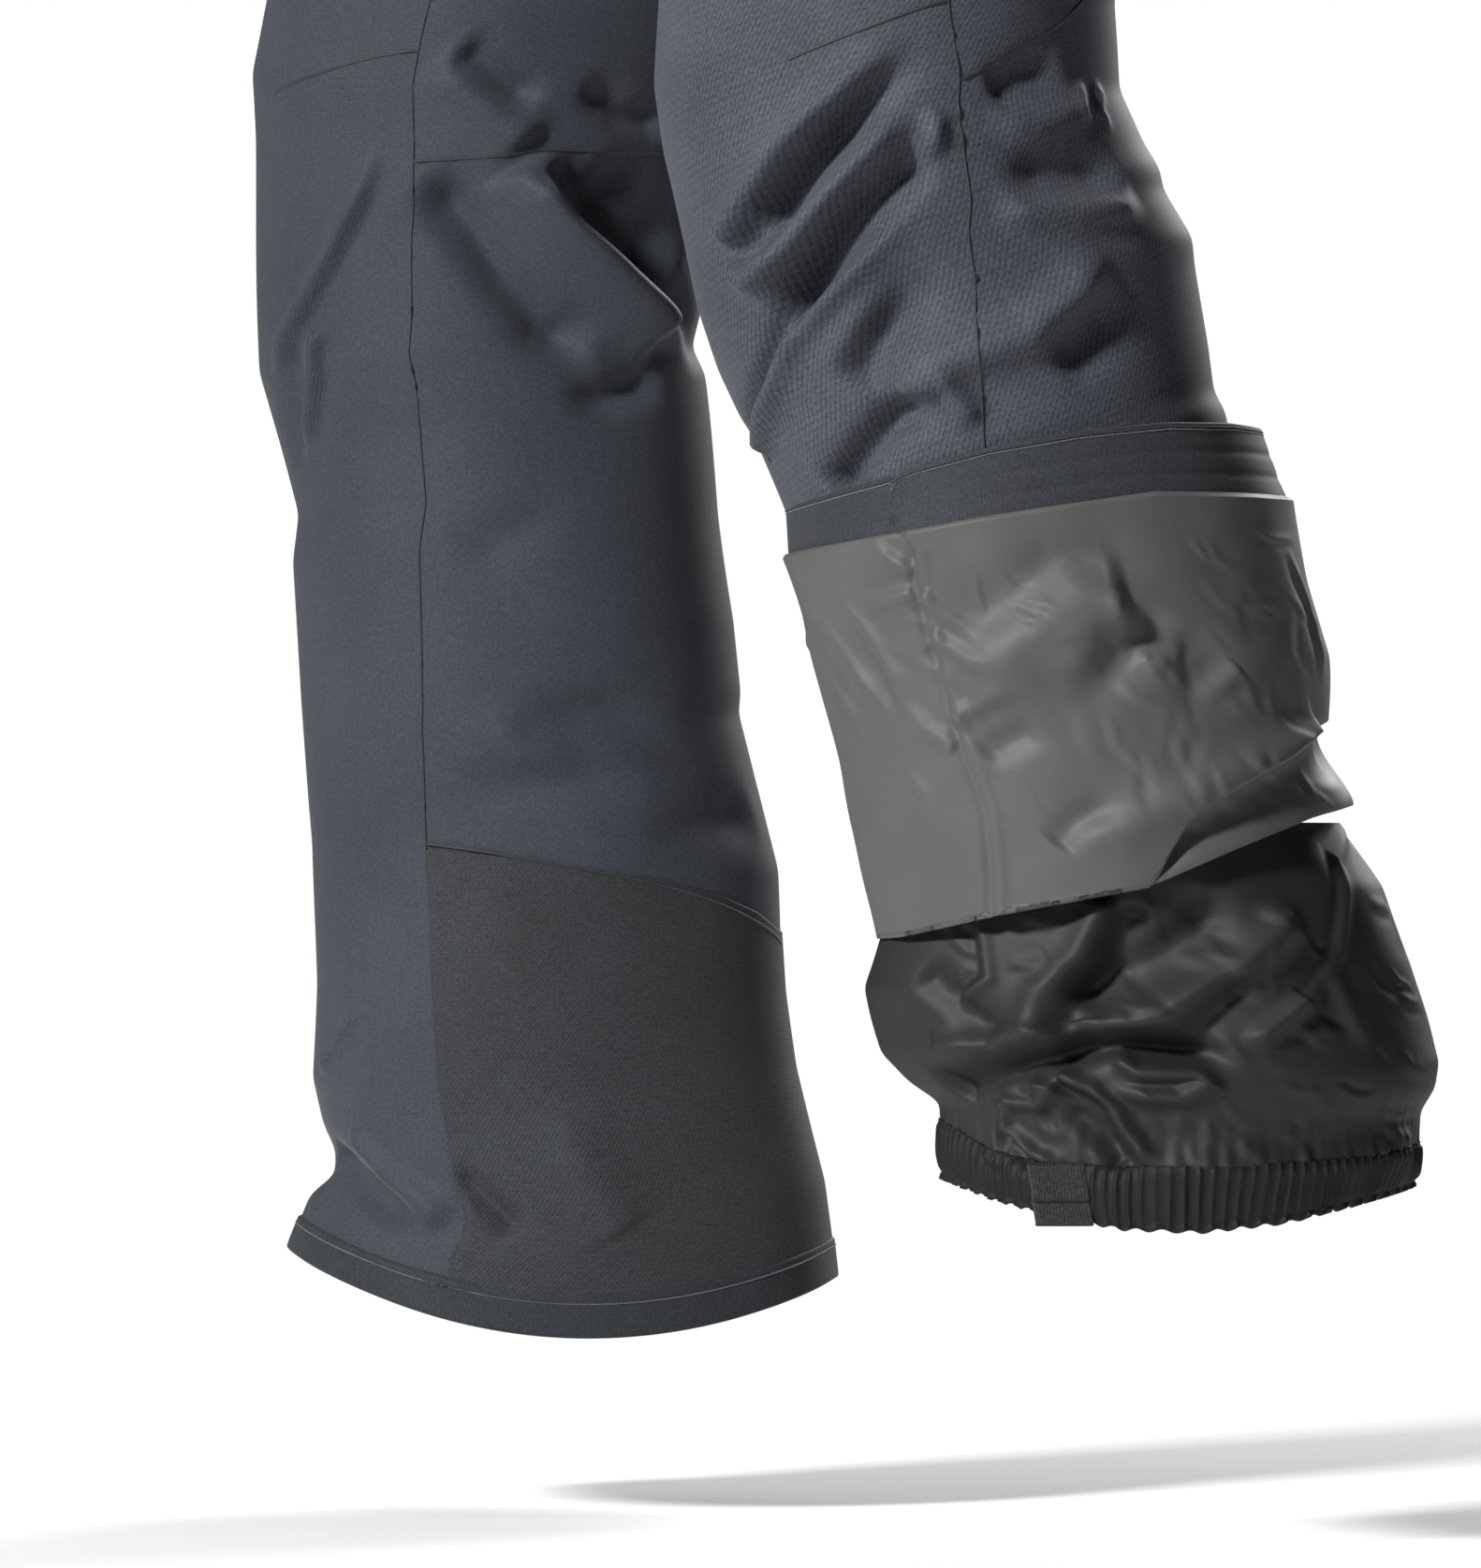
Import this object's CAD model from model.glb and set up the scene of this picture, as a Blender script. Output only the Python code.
import math

import bpy
import numpy as np
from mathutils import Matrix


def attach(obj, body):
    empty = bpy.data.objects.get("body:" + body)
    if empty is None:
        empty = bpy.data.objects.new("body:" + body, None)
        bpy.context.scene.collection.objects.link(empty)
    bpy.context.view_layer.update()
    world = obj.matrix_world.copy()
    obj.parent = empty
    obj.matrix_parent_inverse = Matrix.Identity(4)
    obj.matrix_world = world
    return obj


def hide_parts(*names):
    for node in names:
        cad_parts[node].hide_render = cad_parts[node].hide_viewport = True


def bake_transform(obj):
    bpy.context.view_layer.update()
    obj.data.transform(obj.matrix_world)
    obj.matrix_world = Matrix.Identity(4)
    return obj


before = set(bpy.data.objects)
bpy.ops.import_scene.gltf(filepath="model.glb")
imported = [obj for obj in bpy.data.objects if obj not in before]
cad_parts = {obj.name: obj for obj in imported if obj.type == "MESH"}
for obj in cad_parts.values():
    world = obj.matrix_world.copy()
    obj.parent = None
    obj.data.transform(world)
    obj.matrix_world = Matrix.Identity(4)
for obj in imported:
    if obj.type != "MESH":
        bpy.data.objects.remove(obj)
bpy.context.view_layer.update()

# surfaces from numbers: every size is in metres, folds are drawn in millimetres


def smoothLine(points, at, blur):
    # straight lines between (where, value) pairs, rounded off over blur on both sides
    points = np.array(sorted(points), float)
    dense = np.arange(points[0, 0] - 0.06, points[-1, 0] + 0.06, 0.001)
    values = np.interp(dense, points[:, 0], points[:, 1])
    reach = max(1, int(round(blur / 0.001)))
    kernel = np.hanning(2 * reach + 3)[1:-1]
    padded = np.pad(values, reach, mode="edge")
    return np.interp(at, dense, np.convolve(padded, kernel / kernel.sum(), mode="valid"))


def easeStep(low, high, at):
    # 0 before low, 1 after high, with a soft start and end
    t = np.clip((at - low) / (high - low), 0, 1)
    return t * t * (3 - 2 * t)


def unit(vectors):
    return vectors / np.maximum(np.linalg.norm(vectors, axis=-1, keepdims=True), 1e-12)


def gridFaces(rows, cols, aroundCols=True, aroundRows=False, wrapFrom=0):
    # quads between neighbours of a grid; wrapFrom is the first row whose ends are joined
    r, c = np.meshgrid(np.arange(rows if aroundRows else rows - 1),
                       np.arange(cols if aroundCols else cols - 1), indexing="ij")
    keep = ((c < cols - 1) | (r >= wrapFrom)).ravel()
    r2, c2 = (r + 1) % rows, (c + 1) % cols
    quads = np.stack([r * cols + c, r * cols + c2, r2 * cols + c2, r2 * cols + c], -1)
    return quads.reshape(-1, 4)[keep]


def facing(points, faces, outward=None):
    # the faces turned so that they point away from their middle, or along outward
    a, b, c = points[faces[:, 0]], points[faces[:, 1]], points[faces[:, 2]]
    normals = np.cross(b - a, c - a)
    away = a - points.mean(0) if outward is None else np.array(outward, float)
    return faces[:, ::-1] if np.sum(normals * away) < 0 else faces


def makeMesh(name, points, faces, finish, weave=None, body=None, slot=None, thick=0.0):
    # one object; weave gives each point its place on the cloth, in metres
    mesh = bpy.data.meshes.new(name)
    mesh.vertices.add(len(points))
    mesh.vertices.foreach_set("co", np.ascontiguousarray(points, np.float32).ravel())
    mesh.loops.add(faces.size)
    mesh.loops.foreach_set("vertex_index", np.ascontiguousarray(faces, np.int32).ravel())
    mesh.polygons.add(len(faces))
    mesh.polygons.foreach_set("loop_start",
                              np.arange(0, faces.size, faces.shape[1], dtype=np.int32))
    mesh.polygons.foreach_set("use_smooth", np.ones(len(faces), bool))
    mesh.update(calc_edges=True)
    if weave is not None:
        corners = weave.reshape(-1, 2)[faces]
        gap = corners - corners[:, :1]
        span = np.ptp(weave.reshape(-1, 2), axis=0)
        corners = corners - np.round(gap / np.maximum(span, 1e-6) * 0.999) * span
        mesh.uv_layers.new(name="weave").data.foreach_set(
            "uv", np.ascontiguousarray(corners, np.float32).ravel())
    obj = bpy.data.objects.new(name, mesh)
    bpy.context.scene.collection.objects.link(obj)
    mesh.materials.append(finish)
    if thick:
        wall = obj.modifiers.new("wall", "SOLIDIFY")
        wall.thickness, wall.offset = abs(thick), math.copysign(1, thick)
    if body:
        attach(obj, body)
    return obj


def clothPiece(name, grid, across, down, finish, nodes=(), body=None, slot=None, thick=0.0,
               outward=None, **closed):
    # a grid of points as one piece that stands in for nodes; across and down are each point's
    # place on the cloth
    points = grid.reshape(-1, 3)
    faces = facing(points, gridFaces(*grid.shape[:2], **closed), outward)
    weave = np.stack(np.broadcast_arrays(across, down), -1)
    obj = makeMesh(name, points, faces, finish, weave, body, slot, thick)
    if nodes:
        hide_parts(*nodes)
    return obj


def joinParts(parts):
    # several (points, faces) pairs as one
    starts = np.cumsum([0] + [len(points) for points, _ in parts[:-1]])
    return (np.concatenate([points for points, _ in parts]),
            np.concatenate([faces + start for (_, faces), start in zip(parts, starts)]))


def cordParts(path, up, wide, high):
    # a fine cord along a path: an oval of wide by high, drawn to a point at both ends
    sides = 8
    along = unit(np.gradient(path, axis=0))
    across = unit(np.cross(up, along))
    turn = np.arange(sides) * 2 * np.pi / sides
    taper = np.minimum(1, np.minimum(np.arange(len(path)), np.arange(len(path))[::-1]) / 2.0)
    ring = (across[:, None] * (np.cos(turn) * wide / 2)[None, :, None]
            + unit(up)[:, None] * (np.sin(turn) * high / 2)[None, :, None])
    points = (path[:, None] + ring * taper[:, None, None]).reshape(-1, 3)
    return points, facing(points, gridFaces(len(path), sides))


def dashParts(centres, along, up, long, wide, high):
    # the same small rounded dash at every centre, five-sided with pointed ends
    turn = np.arange(5) * 2 * np.pi / 5
    shape = np.concatenate([[[-.5, 0, 0]],
                            np.stack([np.full(5, -.32), np.cos(turn) / 2, np.sin(turn) / 2], 1),
                            np.stack([np.full(5, .32), np.cos(turn) / 2, np.sin(turn) / 2], 1),
                            [[.5, 0, 0]]]) * (long, wide, high)
    a = np.arange(5)
    b = (a + 1) % 5
    faces = np.concatenate([np.stack([a * 0, b + 1, a + 1], 1), np.stack([a + 1, b + 1, b + 6], 1),
                            np.stack([a + 1, b + 6, a + 6], 1),
                            np.stack([a * 0 + 11, a + 6, b + 6], 1)])
    along = unit(along)
    across = unit(np.cross(up, along))
    lift = np.cross(along, across)
    points = centres[:, None] + shape[None, :, :1] * along[:, None] \
        + shape[None, :, 1:2] * across[:, None] + shape[None, :, 2:] * lift[:, None]
    allFaces = (faces[None] + 12 * np.arange(len(centres))[:, None, None]).reshape(-1, 3)
    return points.reshape(-1, 3), allFaces[:, ::-1]


def evenly(path, spacing):
    # points at equal steps along a path
    length = np.concatenate([[0], np.cumsum(np.linalg.norm(np.diff(path, axis=0), axis=1))])
    at = np.linspace(0, length[-1], max(3, int(length[-1] / spacing) + 1))
    return np.stack([np.interp(at, length, path[:, k]) for k in range(path.shape[1])], 1)


# shader wiring


class Wire:
    # one value in a material; arithmetic on it adds Math nodes
    def __init__(self, finish, socket):
        self.finish, self.socket = finish, socket

    def maths(self, operation, *values):
        return self.finish.node("ShaderNodeMath", {"operation": operation},
                                dict(enumerate((self, *values))))

    def __add__(self, other):
        return self.maths("ADD", other)

    def __radd__(self, other):
        return self + other

    def __sub__(self, other):
        return self.maths("SUBTRACT", other)

    def __rsub__(self, other):
        return self * -1 + other

    def __mul__(self, other):
        return self.maths("MULTIPLY", other)

    def __rmul__(self, other):
        return self * other

    def sine(self):
        return self.maths("SINE")

    def clamped(self):
        return self.finish.node("ShaderNodeClamp", {}, {"Value": self})


class Finish:
    # a material with one shader, and a way to add nodes to it
    def __init__(self, name, **sockets):
        self.material = bpy.data.materials.new(name)
        self.material.use_nodes = True
        self.tree = self.material.node_tree
        self.shader = self.tree.nodes["Principled BSDF"]
        for socket, value in sockets.items():
            self.plug(self.shader.inputs[socket.replace("_", " ")], value)

    def plug(self, socket, value):
        if isinstance(value, Wire):
            self.tree.links.new(value.socket, socket)
        elif isinstance(value, tuple) and len(value) == 3 and socket.type == "RGBA":
            socket.default_value = (*value, 1.0)
        else:
            socket.default_value = value

    def node(self, kind, settings=None, inputs=None, out=0):
        made = self.tree.nodes.new(kind)
        for key, value in (settings or {}).items():
            setattr(made, key, value)
        for key, value in (inputs or {}).items():
            self.plug(made.inputs[key], value)
        return Wire(self, made.outputs[out])

    def noise(self, place, scale, detail=3.0, kind="FBM"):
        return self.node("ShaderNodeTexNoise", {"noise_type": kind},
                         {"Vector": place, "Scale": scale, "Detail": detail})

    def mix(self, share, first, second):
        return self.node("ShaderNodeMix", {"data_type": "RGBA"}, {0: share, 6: first, 7: second},
                         out=2)

    def give(self, socket, value):
        self.plug(self.shader.inputs[socket], value)


def clothFinish(name, colour, dark, weave=0.0014, slant=-58, bump=0.35, relief=0.0002,
                plain=False, mottle=0.16, **sockets):
    # woven cloth in its own metres: slanted broken ribs, or a plain over and under weave,
    # with a heather of light and dark fibres and slow unevenness
    f = Finish(name, **sockets)
    place = f.node("ShaderNodeUVMap", {"uv_map": "weave"})
    turned = f.node("ShaderNodeMapping", {}, {0: place, 2: (0, 0, math.radians(slant))})
    across = f.node("ShaderNodeSeparateXYZ", {}, {0: turned})
    along = Wire(f, across.socket.node.outputs[1])
    ribs = (along * (2 * math.pi / weave)).sine()
    if plain:
        height = ribs * (across * (2 * math.pi / weave)).sine() * 0.45 + 0.5
    else:
        beat = (across * (2 * math.pi / (weave * 1.7)) + along * (3.1 / weave)).sine()
        height = ribs * 0.34 + beat * 0.14 + 0.5
    solid = f.node("ShaderNodeTexCoord", {}, {}, out=3)
    heather = f.noise(solid, 950.0)
    patches = f.noise(solid, 17.0, 4.0)
    tone = height * 0.6 + (heather - 0.5) * 1.8 + (patches - 0.5) * mottle * 6 + 0.10
    f.give("Base Color", f.mix(tone.clamped(), dark, colour))
    f.give("Normal", f.node("ShaderNodeBump", {}, {
        "Strength": bump, "Distance": relief, "Height": height + heather * 0.35}))
    return f.material


def satinFinish(name, colour, dark, rough, crinkle, **sockets):
    # thin shiny cloth: a very fine weave, slight crinkles and uneven gloss
    f = Finish(name, **sockets)
    solid = f.node("ShaderNodeTexCoord", {}, {}, out=3)
    fine = f.noise(solid, 1500.0, 2.0)
    broad = f.noise(solid, 26.0, 5.0)
    creased = f.noise(solid, 75.0, 5.0, "RIDGED_MULTIFRACTAL")
    f.give("Base Color", f.mix((fine * 0.5 + broad * 0.9 - 0.2).clamped(), dark, colour))
    f.give("Roughness", broad * 0.16 + (rough - 0.08))
    f.give("Normal", f.node("ShaderNodeBump", {}, {
        "Strength": 0.5, "Distance": crinkle, "Height": creased * 0.25 + fine * 0.10 + broad}))
    return f.material


def threadFinish(name, colour):
    f = Finish(name, Roughness=0.6, Sheen_Weight=0.2)
    twist = f.noise(f.node("ShaderNodeTexCoord", {}, {}, out=3), 2500.0)
    f.give("Base Color", f.mix(twist, tuple(0.6 * c for c in colour), colour))
    return f.material


def metalFinish(name, colour, dark, rough):
    # cast metal or hard resin with rubbed patches
    f = Finish(name, Metallic=0.85)
    solid = f.node("ShaderNodeTexCoord", {}, {}, out=3)
    worn = f.noise(solid, 220.0, 5.0)
    f.give("Base Color", f.mix(worn, dark, colour))
    f.give("Roughness", worn * 0.25 + rough)
    f.give("Normal", f.node("ShaderNodeBump", {}, {
        "Strength": 0.25, "Distance": 0.0002, "Height": f.noise(solid, 900.0)}))
    return f.material


shellSheen = dict(Roughness=0.66, Sheen_Weight=0.08, Sheen_Roughness=0.5,
                  Specular_IOR_Level=0.16)
finishes = {
    "leftShell": clothFinish("leftShell", (0.082, 0.089, 0.108), (0.031, 0.035, 0.044),
                             weave=0.0018, bump=0.16, relief=0.00015, **shellSheen),
    "rightShell": clothFinish("rightShell", (0.051, 0.057, 0.070), (0.026, 0.030, 0.038),
                              weave=0.0009, bump=0.25, **shellSheen),
    "facing": clothFinish("facing", (0.045, 0.050, 0.057), (0.021, 0.023, 0.027), weave=0.0010,
                          slant=40, **shellSheen),
    "patch": clothFinish("patch", (0.044, 0.048, 0.053), (0.018, 0.020, 0.022), weave=0.0011,
                         slant=-50, **shellSheen),
    "trim": clothFinish("trim", (0.036, 0.041, 0.046), (0.016, 0.018, 0.022), weave=0.0009,
                        slant=45, **shellSheen),
    "lining": satinFinish("lining", (0.100, 0.096, 0.094), (0.062, 0.060, 0.058), 0.56, 0.0010,
                          Specular_IOR_Level=0.30, Sheen_Weight=0.05),
    "gaiter": satinFinish("gaiter", (0.0150, 0.0150, 0.0140), (0.0080, 0.0080, 0.0075), 0.64,
                          0.0012, Specular_IOR_Level=0.42),
    "elastic": satinFinish("elastic", (0.0110, 0.0115, 0.0100), (0.0050, 0.0052, 0.0046), 0.66,
                           0.0010, Specular_IOR_Level=0.25),
    "seamThread": threadFinish("seamThread", (0.007, 0.008, 0.009)),
    "paleThread": threadFinish("paleThread", (0.130, 0.138, 0.150)),
    "darkThread": threadFinish("darkThread", (0.026, 0.029, 0.033)),
    "webbing": clothFinish("webbing", (0.044, 0.043, 0.039), (0.010, 0.010, 0.009),
                           weave=0.0016, slant=45, bump=0.6, plain=True, Roughness=0.6,
                           Specular_IOR_Level=0.3),
    "zipTape": clothFinish("zipTape", (0.026, 0.028, 0.031), (0.010, 0.011, 0.013),
                           weave=0.0012, slant=0, plain=True, Roughness=0.7,
                           Specular_IOR_Level=0.2),
    "zipMetal": metalFinish("zipMetal", (0.16, 0.165, 0.17), (0.07, 0.072, 0.075), 0.25),
    "snap": metalFinish("snap", (0.08, 0.083, 0.088), (0.035, 0.037, 0.040), 0.30),
    "zipTeeth": threadFinish("zipTeeth", (0.016, 0.018, 0.020)),
}
print("finishes ready")

# the plain forms: front and back are (height, y) lines down a piece as seen from the wearer's
# left; centre and half are its middle's distance from the centre plane and its half width, tilt
# tips its levels and drop lets its sides down
legCentre = [(0, 0), (-.045, 0), (-.120, .008), (-.200, .030), (-.250, .060), (-.290, .088),
             (-.303, .0985), (-.320, .103), (-.360, .105), (-.530, .112), (-.600, .115),
             (-.670, .117), (-.730, .118)]
legHalf = [(0, .146), (-.045, .152), (-.120, .168), (-.200, .168), (-.250, .140), (-.290, .111),
           (-.303, .0985), (-.320, .0955), (-.360, .0955), (-.530, .080), (-.600, .077),
           (-.670, .074), (-.730, .071)]
zeroLine = [(0, 0), (-1, 0)]
legForms = {
    "left": {
        "side": 1, "blur": 0.004,
        "front": [(0, -.108), (-.045, -.113), (-.200, -.134), (-.250, -.133), (-.312, -.123),
                  (-.360, -.112), (-.530, -.084), (-.582, -.078), (-.612, -.0795),
                  (-.637, -.0763), (-.647, -.0740), (-.690, -.0650), (-.712, -.0575),
                  (-.729, -.0500), (-.737, -.0450), (-.760, -.0360), (-.800, -.0210),
                  (-.890, .0020)],
        "back": [(0, .108), (-.045, .113), (-.200, .142), (-.250, .141), (-.312, .131),
                 (-.360, .118), (-.450, .101), (-.530, .090), (-.582, .0800), (-.612, .0813),
                 (-.631, .0900), (-.640, .0956), (-.647, .0969), (-.664, .1070),
                 (-.674, .1080), (-.700, .1125), (-.716, .1145), (-.722, .1180),
                 (-.731, .1200), (-.800, .1370), (-.860, .1500)],
        "tilt": [(-.30, 0), (-.53, 0), (-.60, .13), (-.67, .257), (-.90, .257)],
        "centre": [*legCentre, (-.900, .118)], "half": [*legHalf, (-.900, .066)]},
    "right": {
        "side": -1, "blur": 0.004,
        "front": [(0, -.108), (-.045, -.113), (-.200, -.134), (-.250, -.136), (-.300, -.148),
                  (-.400, -.180), (-.500, -.208), (-.567, -.2238), (-.594, -.2297),
                  (-.618, -.2283), (-.704, -.2262), (-.732, -.2187), (-.756, -.2125),
                  (-.773, -.2145), (-.824, -.2111), (-.876, -.2066), (-.928, -.2056),
                  (-.962, -.2070), (-.979, -.2030), (-.989, -.1985), (-.998, -.1990),
                  (-1.005, -.2080), (-1.022, -.2150), (-1.035, -.2190)],
        "back": [(0, .108), (-.045, .113), (-.200, .142), (-.250, .138), (-.330, .105),
                 (-.400, .065), (-.500, .005), (-.560, -.030), (-.600, -.055), (-.640, -.062),
                 (-.680, -.0640), (-.694, -.0680), (-.704, -.0634), (-.756, -.0579),
                 (-.794, -.0521), (-.821, -.0500), (-.828, -.0510), (-.852, -.0452),
                 (-.886, -.0366), (-.910, -.0356), (-.931, -.0339), (-.958, -.0297),
                 (-1.000, -.0194), (-1.036, -.0150)],
        "tilt": [(-.25, 0), (-.36, -.20), (-.53, -.38), (-.60, -.16), (-.67, .05),
                 (-.95, .05), (-1.03, -.06)],
        "centre": [*legCentre, (-1.05, .119)],
        "half": [*legHalf, (-.900, .069), (-1.05, .075)],
        "drop": [(0, 0), (-.95, 0), (-1.02, .024), (-1.06, .026)]},
    "cuff": {
        "side": 1, "blur": 0.003,
        "front": [(-.700, -.036), (-.757, -.036), (-.775, -.0350), (-.797, -.0280),
                  (-.850, -.0155), (-.907, -.0030), (-.93, .002)],
        "back": [(-.700, .130), (-.731, .132), (-.751, .139), (-.755, .141), (-.784, .147),
                 (-.810, .154), (-.833, .1545), (-.845, .158), (-.860, .163), (-.90, .163)],
        "centre": [(-.7, .118), (-.9, .118)],
        "half": [(-.72, .0765), (-.76, .0780), (-.85, .0785), (-.91, .0770)]},
    "gaiter": {
        "side": 1, "blur": 0.003,
        "front": [(-.86, .012), (-.895, .0035), (-.908, -.0020), (-.925, -.0070),
                  (-.948, -.0010), (-.958, .0085), (-.965, .0190), (-.978, .0200),
                  (-1.02, .0220)],
        "back": [(-.85, .150), (-.866, .157), (-.871, .159), (-.890, .173), (-.917, .183),
                 (-.951, .1925), (-.960, .1910), (-.968, .1860), (-.980, .1850),
                 (-.990, .1835), (-1.01, .1815)],
        "centre": [(-.8, .118), (-.9, .118)],
        "half": [(-.85, .0640), (-.89, .0670), (-.930, .0715), (-.955, .0725), (-.975, .0690),
                 (-1.01, .0680)]},
    "innerGaiter": {
        "side": -1, "blur": 0.006,
        "front": [(-.86, -.1990), (-.92, -.1950), (-.96, -.1960), (-.985, -.1905),
                  (-1.01, -.1900)],
        "back": [(-.86, -.0500), (-.92, -.0440), (-.95, -.0450), (-.985, -.0480),
                 (-1.01, -.0480)],
        "tilt": [(-.8, .072), (-1.0, .072)],
        "centre": [(-.8, .118), (-.9, .118)],
        "half": [(-.86, .0605), (-.94, .0590), (-.985, .0575), (-1.01, .0575)]},
}


class LegForm:
    # a tube of cloth as a function of turn and level; turn 0 faces +X and a quarter turn the back
    def __init__(self, form, swell=0.0, seed=1):
        self.side = form["side"]
        self.levels = np.arange(-1.10, 0.011, 0.001)
        fine = {key: smoothLine(form[key], self.levels, 0.004) for key in ("centre", "half")}
        tilt = smoothLine(form.get("tilt", zeroLine), self.levels, 0.03)
        drop = smoothLine(form.get("drop", zeroLine), self.levels, 0.02)
        reach = 0.085
        front = smoothLine(form["front"], self.levels - reach * tilt, form["blur"])
        back = smoothLine(form["back"], self.levels + reach * tilt, form["blur"])
        self.lines = dict(fine, tilt=tilt, drop=drop, mid=(front + back) / 2,
                          deep=(back - front) / 2)
        self.folds, self.swell, self.seed, self.depth = [], swell, seed, 1.0

    def at(self, key, level):
        return np.interp(level, self.levels, self.lines[key])

    def plain(self, turn, level, grow=0.0):
        # an ellipse at each level, tipped by tilt, its sides let down by drop, grown outwards
        x = self.side * self.at("centre", level) + (self.at("half", level) + grow) * np.cos(turn)
        deep = (self.at("deep", level) + grow) * np.sin(turn)
        z = level + deep * self.at("tilt", level) - self.at("drop", level) * np.cos(turn) ** 2
        return np.stack(np.broadcast_arrays(x, self.at("mid", level) + deep, z), -1)

    def place(self, points):
        # the turn and level of points in millimetres, seen from +X
        y, z = np.array(points, float).T / 1000
        level = z
        for _ in range(3):
            level = z - (y - self.at("mid", level)) * self.at("tilt", level)
            turn = np.arcsin(np.clip((y - self.at("mid", level)) / self.at("deep", level),
                                     -.99, .99))
            level = level + self.at("drop", level) * np.cos(turn) ** 2
        return turn, level

    def turnAt(self, x, level):
        # the turn, on the back of the wearer's left side, of a distance from the centre plane
        return np.arccos(np.clip((x - self.at("centre", level)) / self.at("half", level), -1, 1))

    def fold(self, high, wide, points, odd=0.0, lip=0.0, ends=(.3, .3)):
        # one stroke of cloth: high and wide in millimetres along points; odd lifts its left
        # side and lowers its right, lip adds a hollow on its right, ends are its tapered shares
        turn, level = self.place(points)
        high, odd = high * self.depth / 1000, odd * self.depth / 1000
        self.folds.append((turn, level, high, wide / 1000, odd, lip, ends))

    def crinkle(self, across, down, count, high, wide, long, lean, seed):
        # seeded short creases inside a (y, z) box, leaning about one way
        dice = np.random.default_rng(seed)
        for _ in range(count):
            y, z = dice.uniform(*across), dice.uniform(*down)
            way = math.radians(lean + dice.normal(0, 22))
            reach = dice.uniform(.5, 1) * long
            self.fold(dice.choice([-1, 1, 1]) * high * dice.uniform(.4, 1),
                      wide * dice.uniform(.7, 1.4),
                      [(y, z), (y + reach * .55 * math.cos(way), z + reach * .55 * math.sin(way)),
                       (y + reach * math.cos(way + .2), z + reach * math.sin(way + .2))],
                      lip=.5, ends=(.35, .45))

    def relief(self, turn, level):
        # the sum of all strokes and of a slow swell made of sine waves
        total = np.zeros(np.broadcast(turn, level).shape)
        radius = 0.078
        for turns, levels, high, wide, odd, lip, ends in self.folds:
            pieces = np.hypot(np.diff(turns) * radius, np.diff(levels))
            starts = np.concatenate([[0], np.cumsum(pieces)])
            near, sideways, share = (np.full(total.shape, v) for v in (9.0, 0.0, 0.0))
            for i in range(len(pieces)):
                du = ((turn - turns[i] + np.pi) % (2 * np.pi) - np.pi) * radius
                dv = level - levels[i]
                eu, ev = (turns[i + 1] - turns[i]) * radius, levels[i + 1] - levels[i]
                t = np.clip((du * eu + dv * ev) / pieces[i] ** 2, 0, 1)
                away = np.hypot(du - t * eu, dv - t * ev)
                closer = away < near
                near = np.where(closer, away, near)
                sideways = np.where(closer, np.sign(eu * dv - ev * du) * away, sideways)
                share = np.where(closer, (starts[i] + t * pieces[i]) / starts[-1], share)
            taper = easeStep(0, max(ends[0], 1e-3), share) * easeStep(0, max(ends[1], 1e-3),
                                                                      1 - share)
            bump = high * np.exp(-(near / wide) ** 2)
            if lip:
                bump = bump - high * lip * np.exp(-((sideways + wide * 1.3) / wide) ** 2)
            if odd:
                bump = bump + odd * sideways / wide * np.exp(0.5 - (near / wide) ** 2 / 2)
            total += taper * bump
        calm = 1 - easeStep(-.11, -.055, level)
        return total + self.swell * calm * drift(turn, level, self.seed)

    def skin(self, turn, level, grow=0.0):
        return self.plain(turn, level, self.relief(turn, level) + grow)

    def frameAt(self, turn, level, grow=0.0):
        # points on the skin and the directions out of it
        step = 0.001
        here = self.skin(turn, level, grow)
        out = np.cross(self.skin(turn + step, level, grow) - here,
                       self.skin(turn, level + step, grow) - here)
        return here, unit(out)

    def line(self, points, far=False, turned=False):
        # evenly spaced points of a drawn line on the skin, and the directions out of it;
        # turned lines are drawn as (degrees of turn, level) instead
        if turned:
            turn, level = np.array(points, float).T * [[math.pi / 180], [1e-3]]
        else:
            turn, level = self.place(points)
        turn = np.pi - turn if far else turn
        share = np.linspace(0, len(turn) - 1, 40 * len(turn))
        dense = np.stack([np.interp(share, np.arange(len(turn)), v) for v in (turn, level)], 1)
        if len(turn) > 2:
            soft = np.hanning(33) / np.hanning(33).sum()
            padded = np.pad(dense, ((16, 16), (0, 0)), mode="reflect", reflect_type="odd")
            dense = np.stack([np.convolve(padded[:, k], soft, mode="valid") for k in (0, 1)], 1)
        both = evenly(np.concatenate([self.skin(dense[:, 0], dense[:, 1]), dense], 1), 0.001)
        return self.frameAt(both[:, 3], both[:, 4])

    def levelOf(self, curve, turn, guess):
        # the level, turn by turn, at which the skin reaches a (y, z) curve seen from +X
        ys, zs = np.array(curve, float).T / 1000
        level = np.full(np.shape(turn), guess)
        for _ in range(4):
            y = self.at("mid", level) + self.at("deep", level) * np.sin(turn)
            level = np.interp(y, ys, zs)
        return level


def drift(turn, level, seed, count=6):
    # a slow random swelling: a sum of sine waves with whole turns round the leg
    dice = np.random.default_rng(seed)
    total = 0
    for _ in range(count):
        waves = dice.integers(1, 5) * dice.choice([-1, 1])
        total = total + np.sin(waves * turn + dice.uniform(20, 60) * level
                               + dice.uniform(0, 2 * np.pi))
    return total / count


left = LegForm(legForms["left"], 0.0014, 1)
right = LegForm(legForms["right"], 0.0014, 2)
cuff = LegForm(legForms["cuff"])
gaiter = LegForm(legForms["gaiter"])
innerGaiter = LegForm(legForms["innerGaiter"], 0.0010, 5)

left.depth = 1.4

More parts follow.
